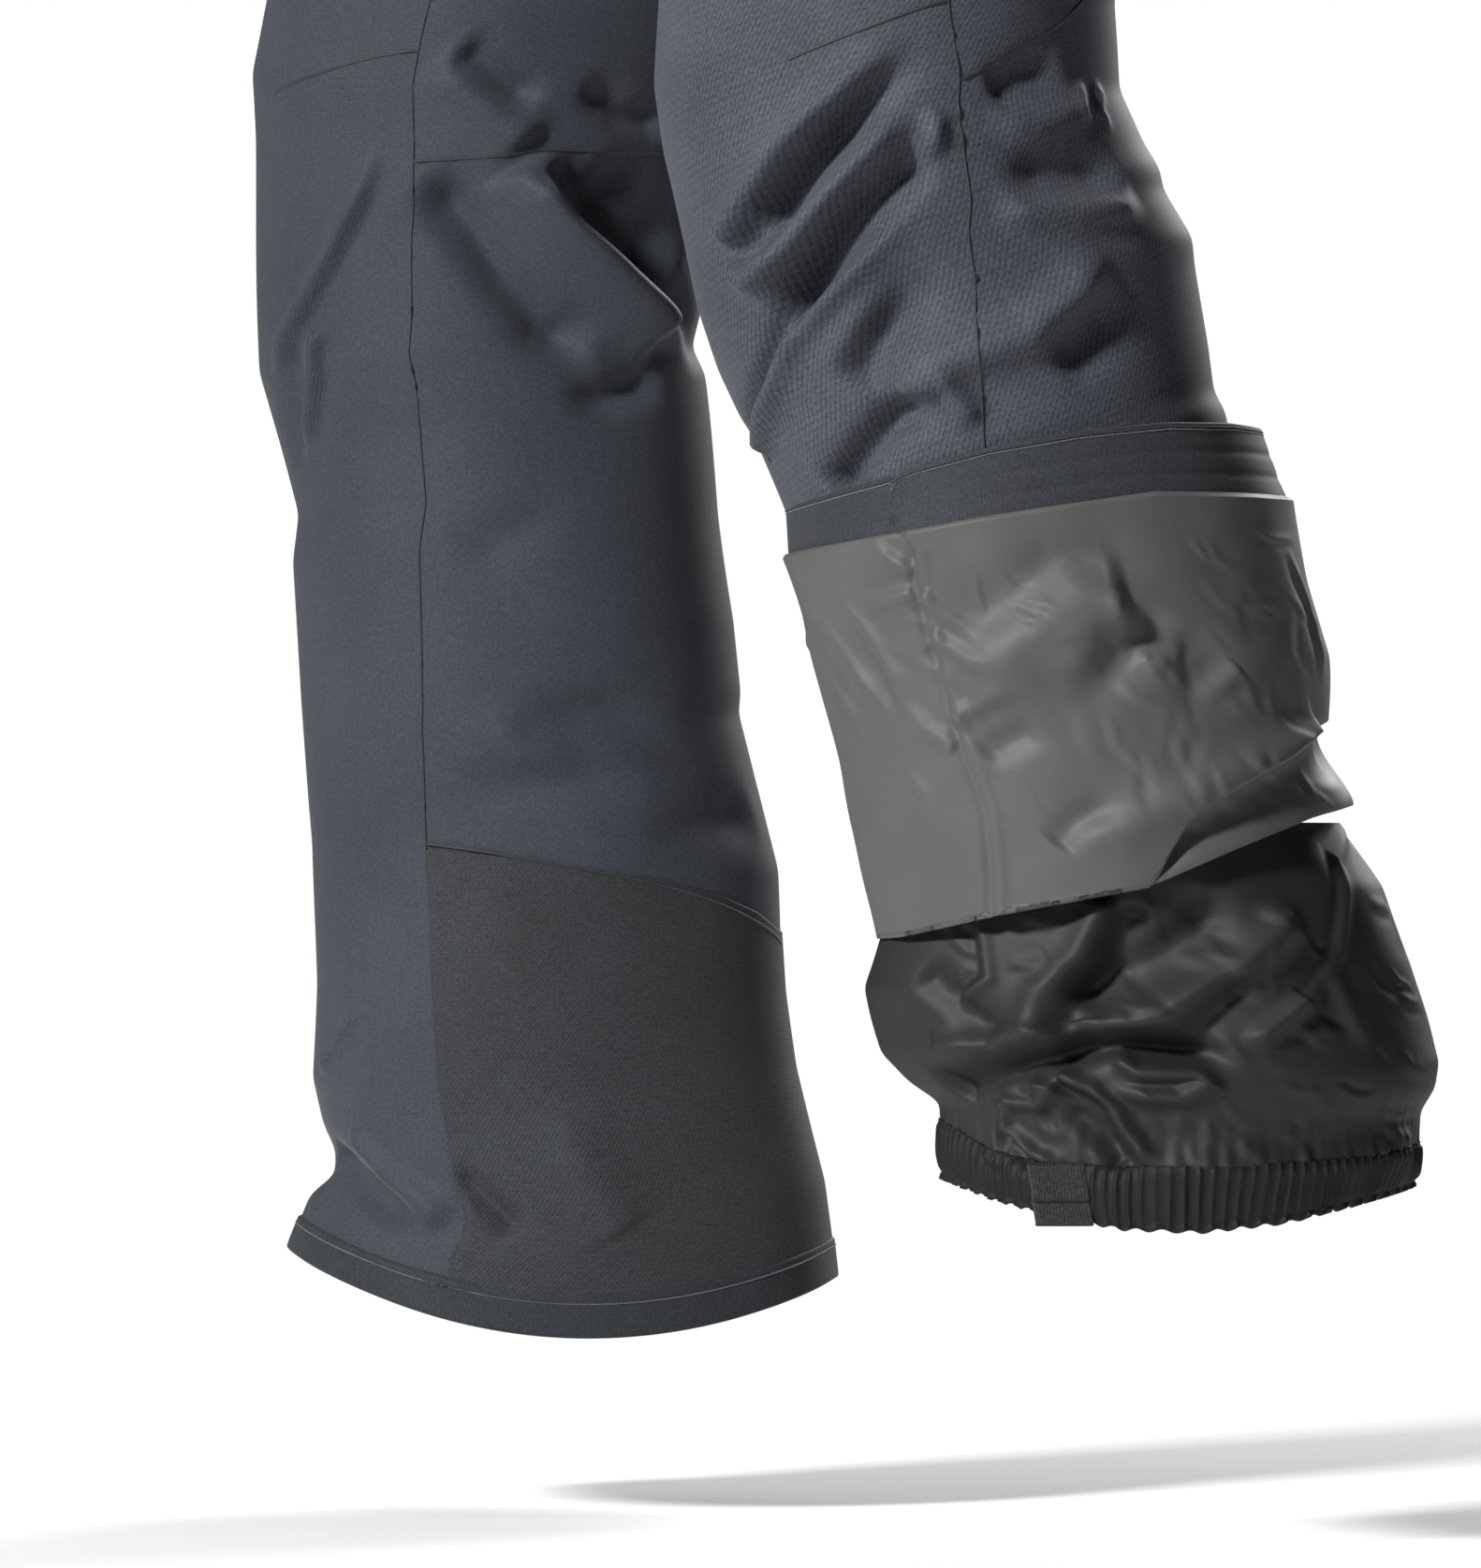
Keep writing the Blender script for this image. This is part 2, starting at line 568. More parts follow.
# folds of the left leg's shell: how high and how wide, then where
left.fold(0, 5, [(-54, -672), (-44, -656), (-33, -640), (-17, -625), (-4, -613), (12, -600)],
          odd=4.5, ends=(.04, .3))
left.fold(-6, 8, [(-45, -666), (-29, -646), (-14, -632), (0, -620)], ends=(.1, .35))
left.fold(6, 5, [(-54, -676), (-45, -680), (-36, -672), (-24, -658), (-11, -642), (0, -632),
                 (11, -628)], ends=(.1, .2))
left.fold(-8, 6, [(-37, -698), (-30, -684), (-18, -668), (-8, -657), (6, -645), (14, -632)],
          ends=(.1, .2))
left.fold(0, 3.5, [(-43, -736), (-39, -714), (-33, -698), (-10, -673), (12, -651)], odd=-4.0,
          ends=(.03, .4))
left.fold(3, 3.5, [(18, -622), (16, -635), (10, -646)], ends=(.3, .4))
left.fold(-5.5, 8, [(-12, -720), (-4, -703), (7, -688), (21, -675)], ends=(.15, .5))
left.fold(3.5, 5, [(-20, -716), (-10, -697), (4, -680)], ends=(.2, .5))
left.fold(6, 8, [(-8, -719), (20, -710), (47, -702), (64, -688), (75, -670)], ends=(.3, .2))
left.fold(-4, 9, [(55, -712), (70, -700), (82, -684)], ends=(.3, .4))
left.fold(-8, 6, [(-20, -754), (-9, -740), (2, -729), (16, -723)], ends=(.03, .2))
left.fold(4.5, 4.5, [(2, -719), (20, -719), (27, -727), (26, -736)], ends=(.2, .3))
left.fold(3.6, 6, [(35, -662), (45, -659), (64, -659), (79, -656), (86, -650)],
          ends=(.2, .3))
left.fold(-4.2, 8, [(38, -651), (55, -645), (70, -645), (82, -646)], ends=(.35, .3))
left.fold(2.6, 7, [(33, -627), (50, -629), (62, -624), (70, -615)], ends=(.25, .4))
left.fold(-3.2, 8, [(34, -619), (47, -612), (61, -606)], ends=(.2, .4))
left.fold(1.4, 2.6, [(68, -612), (66, -623), (71, -629)], ends=(.3, .3))
left.fold(1.6, 2.8, [(74, -612), (73, -623), (78, -630)], ends=(.3, .3))

# folds of the right leg's shell
right.depth = 1.5
right.fold(3.0, 3.5, [(-179, -620), (-187, -643), (-198, -665), (-206, -680), (-220, -708)],
           odd=-1.2, ends=(.3, .2))
right.fold(2.6, 3.2, [(-202, -688), (-203, -705), (-205, -720), (-209, -738)], odd=-1.2,
           ends=(.1, .4))
right.fold(-3.5, 8, [(-209, -690), (-214, -715), (-213, -740)])
right.fold(4, 9, [(-160, -590), (-147, -603), (-132, -617), (-125, -625)], ends=(.3, .15))
right.fold(-5, 7, [(-152, -588), (-138, -600), (-122, -611)], ends=(.2, .3))
right.fold(-4, 7, [(-108, -600), (-92, -612), (-76, -616)], ends=(.3, .2))
right.fold(-7, 9, [(-165, -634), (-147, -653), (-135, -671), (-120, -688), (-101, -699)],
           ends=(.15, .2))
right.fold(7, 9, [(-132, -632), (-117, -652), (-98, -674), (-82, -696)], ends=(.05, .1))
right.fold(0, 6, [(-123, -631), (-108, -650), (-90, -666), (-77, -683), (-69, -695)], odd=-5,
           ends=(.1, .3))
right.fold(-7, 15, [(-108, -630), (-88, -650), (-72, -668)], ends=(.3, .3))
right.fold(-3.6, 7, [(-118, -714), (-98, -715), (-78, -706)], ends=(.4, .3))
right.fold(-1.8, 10, [(-156, -776), (-135, -765), (-108, -752)], ends=(.4, .5))
right.fold(-2.6, 8, [(-134, -836), (-118, -829), (-98, -827), (-72, -834)], ends=(.45, .45))
right.fold(1.6, 8, [(-148, -822), (-130, -843), (-100, -846)], ends=(.4, .5))
right.fold(-2.2, 8, [(-157, -863), (-140, -855), (-108, -853), (-80, -857)], ends=(.4, .4))
right.fold(-2.0, 9, [(-90, -876), (-66, -871), (-45, -864)], ends=(.4, .3))
right.fold(-3.0, 4, [(-152, -998), (-136, -1023)], ends=(.2, .2))
right.fold(1.8, 9, [(-122, -972), (-102, -1004), (-95, -1024)], ends=(.5, .1))
right.fold(-3.6, 5.5, [(-197, -989), (-186, -1006), (-170, -1021)], ends=(.1, .3))
right.fold(3.6, 5, [(-192, -979), (-176, -998), (-168, -1012), (-168, -1021)], ends=(.2, .15))
right.fold(-2.0, 4, [(-207, -1009), (-197, -1001)], ends=(.2, .3))
right.fold(2.2, 3, [(-186, -933), (-197, -948), (-204, -960)], ends=(.3, .2))

# creases and swells of the turned-up lining
cuff.fold(-1.2, 1.8, [(1, -763), (8, -775), (10, -790), (14, -805), (22, -833), (33, -865),
                      (35, -886), (35, -905)], ends=(.02, .02))
cuff.fold(1.0, 2.2, [(5, -763), (12, -775), (14, -790), (18, -805), (26, -833), (37, -865),
                     (39, -886), (39, -905)], ends=(.02, .02))
cuff.fold(2.6, 3.2, [(-29, -790), (-20, -800), (-11, -814), (4, -835)], lip=.7, ends=(.2, .3))
cuff.fold(2.6, 3.0, [(-36, -796), (-27, -806), (-18, -819), (-4, -838)], lip=.7, ends=(.2, .3))
cuff.fold(2.4, 3.8, [(-18, -789), (-8, -800), (3, -817), (10, -836)], lip=.6, ends=(.2, .3))
cuff.fold(1.8, 3.2, [(10, -789), (0, -792), (-11, -794)], lip=.5, ends=(.05, .5))
cuff.fold(1.8, 3.0, [(9, -782), (2, -778), (-5, -770)], lip=.5, ends=(.05, .5))
cuff.fold(1.8, 3.2, [(12, -790), (23, -799), (32, -805)], lip=.5, ends=(.05, .5))
cuff.fold(1.8, 3.2, [(15, -804), (27, -812), (41, -818)], lip=.5, ends=(.05, .5))
cuff.fold(1.8, 3.5, [(22, -834), (34, -826), (48, -821)], lip=.5, ends=(.05, .5))
cuff.fold(1.6, 3.5, [(24, -842), (14, -836), (4, -824)], lip=.4, ends=(.05, .5))
cuff.fold(1.6, 3.0, [(3, -846), (14, -858), (22, -880)], lip=.5)
cuff.fold(6.5, 13, [(27, -828), (42, -812), (55, -797), (68, -790), (84, -791)], ends=(.3, .1))
cuff.fold(0, 6, [(86, -790), (84, -799), (74, -805), (70, -815), (58, -824)], odd=-2.8,
          ends=(.15, .3))
cuff.fold(-4.0, 8, [(16, -787), (34, -797), (46, -790), (57, -779), (74, -776), (92, -786)],
          ends=(.3, .3))
cuff.fold(2.0, 4, [(84, -810), (90, -814), (98, -812)], ends=(.3, .4))
cuff.fold(2.2, 4, [(121, -814), (113, -822), (103, -826)], ends=(.1, .4))
cuff.fold(-3.0, 9, [(96, -800), (110, -812), (104, -836)], ends=(.3, .4))
cuff.fold(1.2, 3, [(138, -771), (146, -792), (151, -822)], lip=.8)
cuff.fold(3.5, 7, [(49, -878), (80, -870), (118, -851), (149, -836)], ends=(.3, .02))
cuff.fold(-3.0, 5, [(57, -876), (64, -868), (80, -858)], ends=(.1, .4))
cuff.fold(-2.5, 5, [(30, -845), (41, -840), (52, -833)])
cuff.crinkle((-30, 145), (-862, -765), 60, .55, 2.2, 26, -48, 41)
cuff.crinkle((60, 150), (-850, -765), 18, .5, 2.6, 34, -80, 42)

# folds of the gaiter
gaiter.fold(2.2, 2.8, [(33, -898), (34, -910), (35, -921), (26, -928), (23, -934)], lip=.6,
            ends=(.02, .2))
gaiter.fold(0, 5, [(80, -893), (71, -915), (59, -928), (55, -937), (64, -942)], odd=-5.0,
            ends=(.1, .1))
gaiter.fold(-7, 8, [(109, -888), (108, -904), (85, -918), (62, -931)], ends=(.2, .15))
gaiter.fold(6, 6, [(132, -892), (135, -904), (119, -918), (98, -932), (66, -941)],
            ends=(.1, .1))
gaiter.fold(4.5, 3.2, [(143, -927), (136, -934), (122, -945)], ends=(.06, .3))
gaiter.fold(-4.5, 6, [(124, -921), (110, -934), (100, -941)], ends=(.2, .2))
gaiter.fold(1.3, 2.8, [(158, -868), (155, -880), (158, -892), (156, -911), (145, -928),
                       (128, -946)], lip=.6, ends=(.05, .3))
gaiter.fold(-4.5, 6, [(12, -918), (22, -928), (32, -937), (42, -942)], ends=(.15, .2))
gaiter.fold(-10, 5, [(20, -959), (41, -952), (62, -946), (78, -943), (98, -945), (122, -947)],
            ends=(.06, .15))
gaiter.fold(5, 5, [(16, -947), (40, -943), (60, -938), (74, -936)], ends=(.1, .3))
gaiter.fold(4.5, 3.4, [(75, -945), (86, -953), (106, -953), (110, -957), (101, -962),
                       (84, -961), (72, -958)], ends=(.08, .2))
gaiter.fold(4.0, 2.6, [(40, -963), (53, -965), (56, -959), (47, -957)], ends=(.1, .1))
gaiter.fold(6, 3.6, [(57, -953), (70, -959), (81, -972), (91, -986)], lip=.7, ends=(.05, .2))
gaiter.fold(4.0, 2.8, [(38, -962), (42, -973), (52, -982), (62, -987)], lip=.8,
            ends=(.08, .2))
gaiter.fold(-4.5, 4, [(60, -964), (72, -974), (80, -986)], ends=(.2, .1))
gaiter.fold(1.6, 4, [(152, -915), (161, -936), (166, -948)], lip=.5)
gaiter.fold(3.0, 6, [(76, -985), (110, -986), (150, -985), (182, -979)], ends=(.2, .1))
gaiter.crinkle((0, 180), (-975, -885), 60, .9, 2.4, 24, -40, 43)
gaiter.crinkle((20, 120), (-985, -955), 22, 1.0, 2.2, 16, -60, 44)
print("forms ready")

# metres of cloth for one radian of turn, round a leg, the hips and the waist
legRadius, hipRadius, waistRadius = .08, .10, .13

# how the cloth follows the joints: from one body to the next between two places
hips = {"left": ("seat", "thigh_left", (.1, 0, -.30), (.1, 0, -.44)),
        "right": ("seat", "thigh_right", (-.1, 0, -.30), (-.1, -.06, -.44))}
knees = {"left": ("thigh_left", "shin_left", (.115, .004, -.53), (.115, .022, -.67)),
         "right": ("thigh_right", "shin_right", (-.115, -.118, -.53), (-.115, -.143, -.67))}
shell = {"columns": 330, "join": -.450, "crotch": -.303, "top": -.040,
         "flySlot": .0046, "flyEnd": -.194}


def legPiece(name, form, top, bottom, finish, rows, tuck):
    # a leg's skin between two levels; its last rows turn inwards and up by tuck
    levels = np.concatenate([np.linspace(top, bottom, rows),
                             bottom + np.array([.0003, .0012, .0040, .0080])])[:, None]
    inward = np.concatenate([np.zeros(rows), -tuck * np.array([.35, .75, 1, 1])])[:, None]
    turn = np.linspace(-np.pi, np.pi, shell["columns"], endpoint=False)[None, :]
    grid = form.skin(turn, levels, inward)
    return clothPiece(name, grid, turn * legRadius, levels, finish)


def upperPiece(name, form, finish):
    # half of the seat and the top of a leg: each row above the crotch ends on the centre plane,
    # or at the fly's slot, where cos(turn) = (edge - centre) / half
    levels = np.concatenate([np.linspace(shell["top"], -.270, 110),
                             np.linspace(-.2715, shell["crotch"], 26),
                             np.linspace(shell["crotch"] - .002, shell["join"], 70)])
    slot = shell["flySlot"] * easeStep(shell["flyEnd"], shell["flyEnd"] + .012, levels)
    opened = levels > shell["crotch"]
    full = np.pi * (1 - 1 / shell["columns"])
    frontReach = np.where(opened, form.turnAt(slot, levels), np.pi)
    backReach = np.where(opened, form.turnAt(0, levels), full)
    share = np.linspace(0, 1, shell["columns"])[None, :]
    turn = -frontReach[:, None] + share * (frontReach + backReach)[:, None]
    turn = turn if form.side > 0 else np.pi - turn
    level = np.repeat(levels[:, None], shell["columns"], 1)
    grid = form.skin(turn, level)
    inner = opened[:, None] & (form.side * grid[..., 0] < 0)
    grid[..., 0] = np.where(inner, 0, grid[..., 0])
    return clothPiece(name, grid, turn * hipRadius, level, finish,
                      wrapFrom=int(np.argmax(~opened)))


for name, form, bottom, rows in (("left", left, -.880, 285), ("right", right, -1.0195, 286)):
    finish, knee, hip = finishes[f"{name}Shell"], knees[name], hips[name]
    lower = legPiece(f"leg_lower_{name}", form, shell["join"], bottom, finish, rows, .003)
    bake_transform(lower)
    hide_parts(f"knee_{name}", f"shin_front_{name}", f"shin_back_{name}")
    upper = upperPiece(f"seat_and_thigh_{name}", form, finish)
    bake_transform(upper)
    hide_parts(*(f"{part}_{end}_{name}" for part in ("seat", "hip", "thigh")
                         for end in ("front", "back")))
print("shell made")


def seamPiece(name, form, lines, finish, wide=.0008, high=.0007, lift=.0001, far=False):
    # fine dark cords that lie in a shell's seams
    parts = [cordParts(path + out * lift, out, wide, high)
             for path, out in (form.line(line, far) for line in lines)]
    return makeMesh(name, *joinParts(parts), finish)


# rows of stitches: the pitch, a stitch's length and thickness, and its height over the cloth
stitchSizes = {"shell": (.0026, .0019, .0005, .0001), "waist": (.0026, .0019, .0005, .0002),
               "pad": (.0024, .0017, .0005, .0001), "zip": (.0025, .0018, .0005, 0),
               "cuff": (.0019, .0013, .00042, .0001), "hem": (.0020, .0014, .00045, .0001)}


def stitchParts(path, out, kind):
    # one dash for every pitch along a path that is spaced by about 1 mm or finer
    pitch, long, thick, lift = stitchSizes[kind]
    both = evenly(np.concatenate([path, out], 1), pitch)
    along = np.gradient(both[:, :3], axis=0)
    return dashParts(both[:, :3] + both[:, 3:] * lift, along, both[:, 3:], long, thick * 1.3,
                     thick)


# the legs' seams below the hip: side seam, knee darts and the seam behind the knee
kneeSeams = {
    "left": {
        "side": [(18, -440), (19, -520), (21, -582), (23, -600), (25, -614), (28, -649),
                 (30, -682), (32, -715), (34, -742), (36, -770)],
        "darts": [[(-34, -607), (-8, -597), (11, -590), (20, -587)]],
        "behind": [(25, -614), (34, -610), (47, -602), (60, -594), (67, -586), (72, -580)]},
    "right": {
        "side": [(-150, -440), (-155, -520), (-160, -567), (-164, -581), (-166, -590),
                 (-168, -630), (-169, -659), (-168, -705), (-166, -766), (-165, -840),
                 (-164, -877), (-162, -924), (-160, -953), (-154, -981), (-154, -1002),
                 (-157, -1023), (-160, -1042)],
        "darts": [[(-166, -590), (-181, -592), (-201, -597), (-220, -603)]],
        "behind": [(-168, -630), (-147, -629), (-133, -628), (-124, -626), (-109, -626),
                   (-76, -626)]}}


def puckers(form, line, count, seed, high=.8):
    # short shallow creases that leave a seam at a slant, at seeded places
    dice = np.random.default_rng(seed)
    path = evenly(np.array(line, float), 1.0)
    for spot in dice.uniform(.04, .96, count):
        y, z = path[int(spot * (len(path) - 1))]
        side, reach = dice.choice([-1, 1]), dice.uniform(6, 13)
        form.fold(high * dice.uniform(.5, 1), dice.uniform(1.8, 3.0),
                  [(y, z), (y + side * reach, z - reach * dice.uniform(.3, 1.1))],
                  lip=.5, ends=(.05, .7))


puckers(left, kneeSeams["left"]["side"][2:], 9, 71)
puckers(right, kneeSeams["right"]["side"][3:14], 9, 72, .6)
for name, form in (("left", left), ("right", right)):
    lines = kneeSeams[name]
    for key in ("side", "behind"):
        form.fold(-0.5, 1.8, lines[key], ends=(.01, .01))
        form.fold(0.5, 4.5, lines[key], ends=(.01, .01))
    seam = seamPiece(f"knee_seams_{name}", form, [lines["side"], *lines["darts"],
                                                  lines["behind"]], finishes["seamThread"])
    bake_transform(seam)
    other = seamPiece(f"far_seams_{name}", form, [lines["side"], lines["behind"],
                                                  *lines["darts"]], finishes["seamThread"],
                      far=True)
    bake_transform(other)

# the turned-up cuff of the left leg: hem facing above, lining below, down to the fold
cuffHem = {
    "top": [(-60, -762), (-36, -758.5), (0, -749.5), (11, -746), (34, -740), (65, -734.5),
            (96, -731), (120, -730.5), (140, -732), (160, -733)],
    "seam": [(-60, -781), (-35, -775), (0, -769), (34, -763), (93, -754.5), (141, -755),
             (160, -756)],
    "overlap": .0013, "wall": .0016, "inset": -.0014, "rowBelow": .0021, "columns": 640}


def hemRing():
    # a folded strip with a rounded top edge, closed all the way round; past the overlap it
    # stands one thickness higher and its corner is cut back
    turn = np.linspace(-np.pi, np.pi, cuffHem["columns"], endpoint=False)[None, :]
    top = cuff.levelOf(cuffHem["top"], turn, -.745)
    low = cuff.levelOf(cuffHem["seam"], turn, -.765) - .004
    start = cuff.place([(1.2, -752)])[0][0]
    past = (turn - start + np.pi) % (2 * np.pi) - np.pi
    over = easeStep(-.004, .004, past) * (1 - easeStep(.5, 1.6, past))
    corner = .0022 * np.exp(-np.clip(past, 0, None) / .03) * (past > -.004)
    notch = .0012 * np.exp(-(past / .008) ** 2)
    share = np.concatenate([np.linspace(1, .02, 40), [.004, -.006, -.010, -.006, .004],
                            np.linspace(.02, 1, 12)])[:, None]
    wall = cuffHem["wall"]
    depth = np.concatenate([np.zeros(40), [-.0001, -.0004, -.0008, -.0012, -.0015],
                            np.full(12, -wall)])[:, None]
    pressed = (-.00035 * np.exp(-((share - .34) / .05) ** 2)
               - .00030 * np.exp(-((share - .62) / .05) ** 2)) * easeStep(.2, .6, past)
    level = top - corner - notch + share * (low - top)
    ripple = .0005 * drift(turn, level, 8) + pressed * (depth > -.0002)
    grow = cuffHem["inset"] + depth + over * cuffHem["overlap"] + ripple
    grid = cuff.skin(turn, level, grow)
    clothPiece("cuff_hem_left_cloth", grid, turn * legRadius, level, finishes["facing"],
               ("cuff_hem_left",), "shin_left", "facing", aroundRows=True)
    edge = top - corner - notch
    face = cuffHem["inset"] + over * cuffHem["overlap"]
    rowLevel = edge - cuffHem["rowBelow"]
    path, out = cuff.frameAt(turn[0], rowLevel[0], (face + .0005 * drift(turn, rowLevel, 8))[0])
    makeMesh("cuff_stitches_paleThread", *stitchParts(path, out, "cuff"), finishes["paleThread"],
             body="shin_left")
    path, out = cuff.frameAt(turn[0], edge[0] - .0012, (face + .0005 * drift(turn, edge, 8))[0])
    makeMesh("cuff_edge_cord", *cordParts(path, out, .0007, .0008), finishes["facing"],
             body="shin_left")


hemRing()

cuffLining = {
    "upperFold": [(-60, -915), (-3, -910), (37, -900.5), (61, -896), (88, -890), (93, -884),
                  (103, -867), (118, -856), (137, -845), (150, -834), (170, -824)],
    "lowerFold": [(-60, -915), (-3, -907), (6, -906), (37, -898.5), (61, -894), (93, -888),
                  (124, -875), (147, -866), (162, -862), (175, -857)],
    "columns": 560, "layer": .0050}


def liningPiece():
    # from a puffed upper edge down to a fold; towards the back the cloth hangs over itself in
    # an upper fold, whose edge rolls under by the layer's depth before the lower layer goes on
    turn = np.linspace(-np.pi, np.pi, cuffLining["columns"], endpoint=False)[None, :]
    top = cuff.levelOf(cuffHem["seam"], turn, -.765)
    upper = cuff.levelOf(cuffLining["upperFold"], turn, -.86)
    lower = cuff.levelOf(cuffLining["lowerFold"], turn, -.88)
    upper = np.maximum(upper, lower + .0004)
    deep = cuffLining["layer"] * easeStep(.001, .012, upper - lower)
    roll = np.linspace(0, 1, 9)[:, None]
    first = np.array([[-.0034, -.0030], [-.0030, -.0008], [-.0016, .0004], [.0000, .0000],
                      [.0010, -.0012]])
    startLevel = top + first[:, 1:]
    startGrow = first[:, :1] + 0 * turn
    body = np.linspace(.012, 1, 170)[:, None]
    bodyLevel = top + body * (upper - top)
    puff = .0012 * np.exp(-((top - bodyLevel) / .010)) + 0 * turn
    rollLevel = upper - .0016 * np.sin(np.pi * roll) + .0040 * roll ** 2 * (deep / .005)
    rollGrow = -deep * easeStep(0, 1, roll)
    under = np.linspace(.05, 1, 60)[:, None]
    underTop = rollLevel[-1:]
    underLevel = underTop + under * (lower - underTop)
    underGrow = -deep * (1 - easeStep(.35, 1, under)) - .0002
    ending = np.linspace(0, 1, 8)[1:, None]
    endLevel = lower - .0016 * np.sin(np.pi * ending * .8) + .010 * ending ** 2
    endGrow = -.0052 * ending ** .7 + 0 * turn
    level = np.concatenate([startLevel, bodyLevel, rollLevel, underLevel, endLevel])
    grow = np.concatenate([startGrow, puff, rollGrow, underGrow, endGrow])
    crumple = (.0007 * drift(turn * 2, level * 2.5, 11) + .0005 * drift(turn * 5, level * 4, 12))
    grid = cuff.skin(turn, level, grow + crumple)
    obj = clothPiece("cuff_lining_left_cloth", grid, turn * legRadius, level,
                     finishes["lining"], ("cuff_lining_left",), "shin_left", "lining")


liningPiece()
print("cuff made")

# the left gaiter: a full skirt from inside the fold down to a gathered elastic band
gaiterBand = {
    "top": [(-30, -955), (19, -971), (34, -980), (50, -984.5), (80, -986), (120, -985.5),
            (160, -983.5), (182, -979.5), (220, -975)],
    "bottom": [(-30, -981), (22, -992), (37, -997.5), (53, -1001.5), (80, -1006.5),
               (107, -1007.5), (137, -1004.5), (162, -999), (183, -994), (220, -990)],
    "pleats": 118, "depth": .0011, "wall": .0022, "columns": 1100}


def skirtPiece(name, form, topLevel, lowCurve, node, columns, seed, lowLevel=None):
    # cloth from inside the leg to the band: crumpled, and pleated where it is gathered
    turn = np.linspace(-np.pi, np.pi, columns, endpoint=False)[None, :]
    low = (form.levelOf(lowCurve, turn, -.98) if lowLevel is None
           else lowLevel + 0 * turn) - .0010
    share = np.linspace(0, 1, 230)[:, None]
    level = topLevel + share * (low - topLevel)
    near = np.exp(-(level - low) / .010)
    dice = np.random.default_rng(seed)
    waves = sum(np.sin(k * turn + dice.uniform(0, 6.28)) * dice.uniform(.4, 1)
                for k in (31, 43, 57, 71, 89)) / 3
    crumple = (.0010 * drift(turn * 2, level * 2.2, seed) + .0007 * drift(turn * 4, level * 4,
                                                                         seed + 1)
               + .0009 * waves * near)
    tuck = -.0012 * easeStep(.985, 1, share)
    grid = form.skin(turn, level, crumple + tuck)
    obj = clothPiece(name, grid, turn * legRadius, level, finishes["gaiter"], (node,),
                     slot="gaiter")
    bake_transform(obj)
    return obj


def bandPiece(name, form, topCurve, lowCurve, node, body, seed, levels=None):
    # an elastic band under the gathers: uneven pleats that run from edge to edge, two sewn
    # channels, and an edge that ruffles
    turn = np.linspace(-np.pi, np.pi, gaiterBand["columns"], endpoint=False)[None, :]
    if levels is None:
        top, low = form.levelOf(topCurve, turn, -.98), form.levelOf(lowCurve, turn, -1.0)
    else:
        top, low = (value + 0 * turn for value in levels)
    share = np.concatenate([np.linspace(-.04, 1, 26), [1.02, 1.0, .9],
                            np.linspace(.8, 0, 8)])[:, None]
    outer = np.concatenate([np.ones(26), [.5, 0, 0], np.zeros(8)])[:, None]
    dice = np.random.default_rng(seed)
    phase = gaiterBand["pleats"] * turn + 4.2 * drift(turn * 4, turn * 0, seed) \
        + 1.6 * drift(turn * 3, share * .05 + 0 * turn, seed + 1)
    height = .50 + .55 * drift(turn * 7, share * .02, seed + 2)
    pleat = (1 - np.abs(np.sin(phase / 2))) ** 1.5 * 2 - .7
    sewn = 1 - .75 * np.exp(-((share - .03) / .04) ** 2) - .5 * np.exp(-((share - .86) / .04) ** 2)
    ruffle = .0009 * np.sin(phase * .5 + 1) * easeStep(.86, 1.0, share)
    crown = .0016 * np.sin(np.pi * np.clip(share / .86, 0, 1)) ** .6
    wall = -gaiterBand["wall"] * (1 - outer)
    grow = .0004 + wall + outer * (crown + gaiterBand["depth"] * pleat * height * sewn + ruffle)
    level = top + share * (low - top) + .0006 * np.sin(phase * .5) * easeStep(.86, 1, share)
    grid = form.skin(turn, level, grow)
    clothPiece(name, grid, turn * legRadius, level, finishes["elastic"], (node,), body, "gaiter",
               aroundRows=True)


skirt = skirtPiece("gaiter_skirt_left_cloth", gaiter, -.868, gaiterBand["top"],
                   "gaiter_skirt_left", 520, 21)
bandPiece("gaiter_band_left_cloth", gaiter, gaiterBand["top"], gaiterBand["bottom"],
          "gaiter_band_left", "gaiter_left", 31)
innerSkirt = skirtPiece("gaiter_skirt_right_cloth", innerGaiter, -.885, None,
                        "gaiter_skirt_right", 300, 22, lowLevel=-.978)
bandPiece("gaiter_band_right_cloth", innerGaiter, None, None, "gaiter_band_right",
          "gaiter_right", 32, levels=(-.978, -.999))
print("gaiters made")


def strapPiece(name, path, across, wide, thick, finish, body, slot, ribs=0.0, nodes=()):
    # a flat strap along a path: a rounded oblong section carried along it, ribbed across
    path = evenly(np.array(path, float), .0004 if ribs else .0008)
    along = unit(np.gradient(path, axis=0))
    across = np.broadcast_to(unit(np.array(across, float)), path.shape)
    up = unit(np.cross(along, across))
    turn = np.linspace(0, 2 * np.pi, 28, endpoint=False) + .01
    x = np.sign(np.cos(turn)) * np.abs(np.cos(turn)) ** .25 * wide / 2
    y = np.sign(np.sin(turn)) * np.abs(np.sin(turn)) ** .5 * thick / 2
    length = np.arange(len(path)) * .0004
    rib = ribs * np.abs(np.sin(np.pi * length / .0016))[:, None]
    ends = np.ones(len(path))
    ends[[0, -1]] = 0
    flat = y[None, :] + np.sign(y)[None, :] * rib
    grid = path[:, None] + (across[:, None] * x[None, :, None]
                            + up[:, None] * flat[..., None]) * ends[:, None, None]
    clothPiece(name, grid, x + y, length[:, None] * 2, finish, nodes, body, slot)


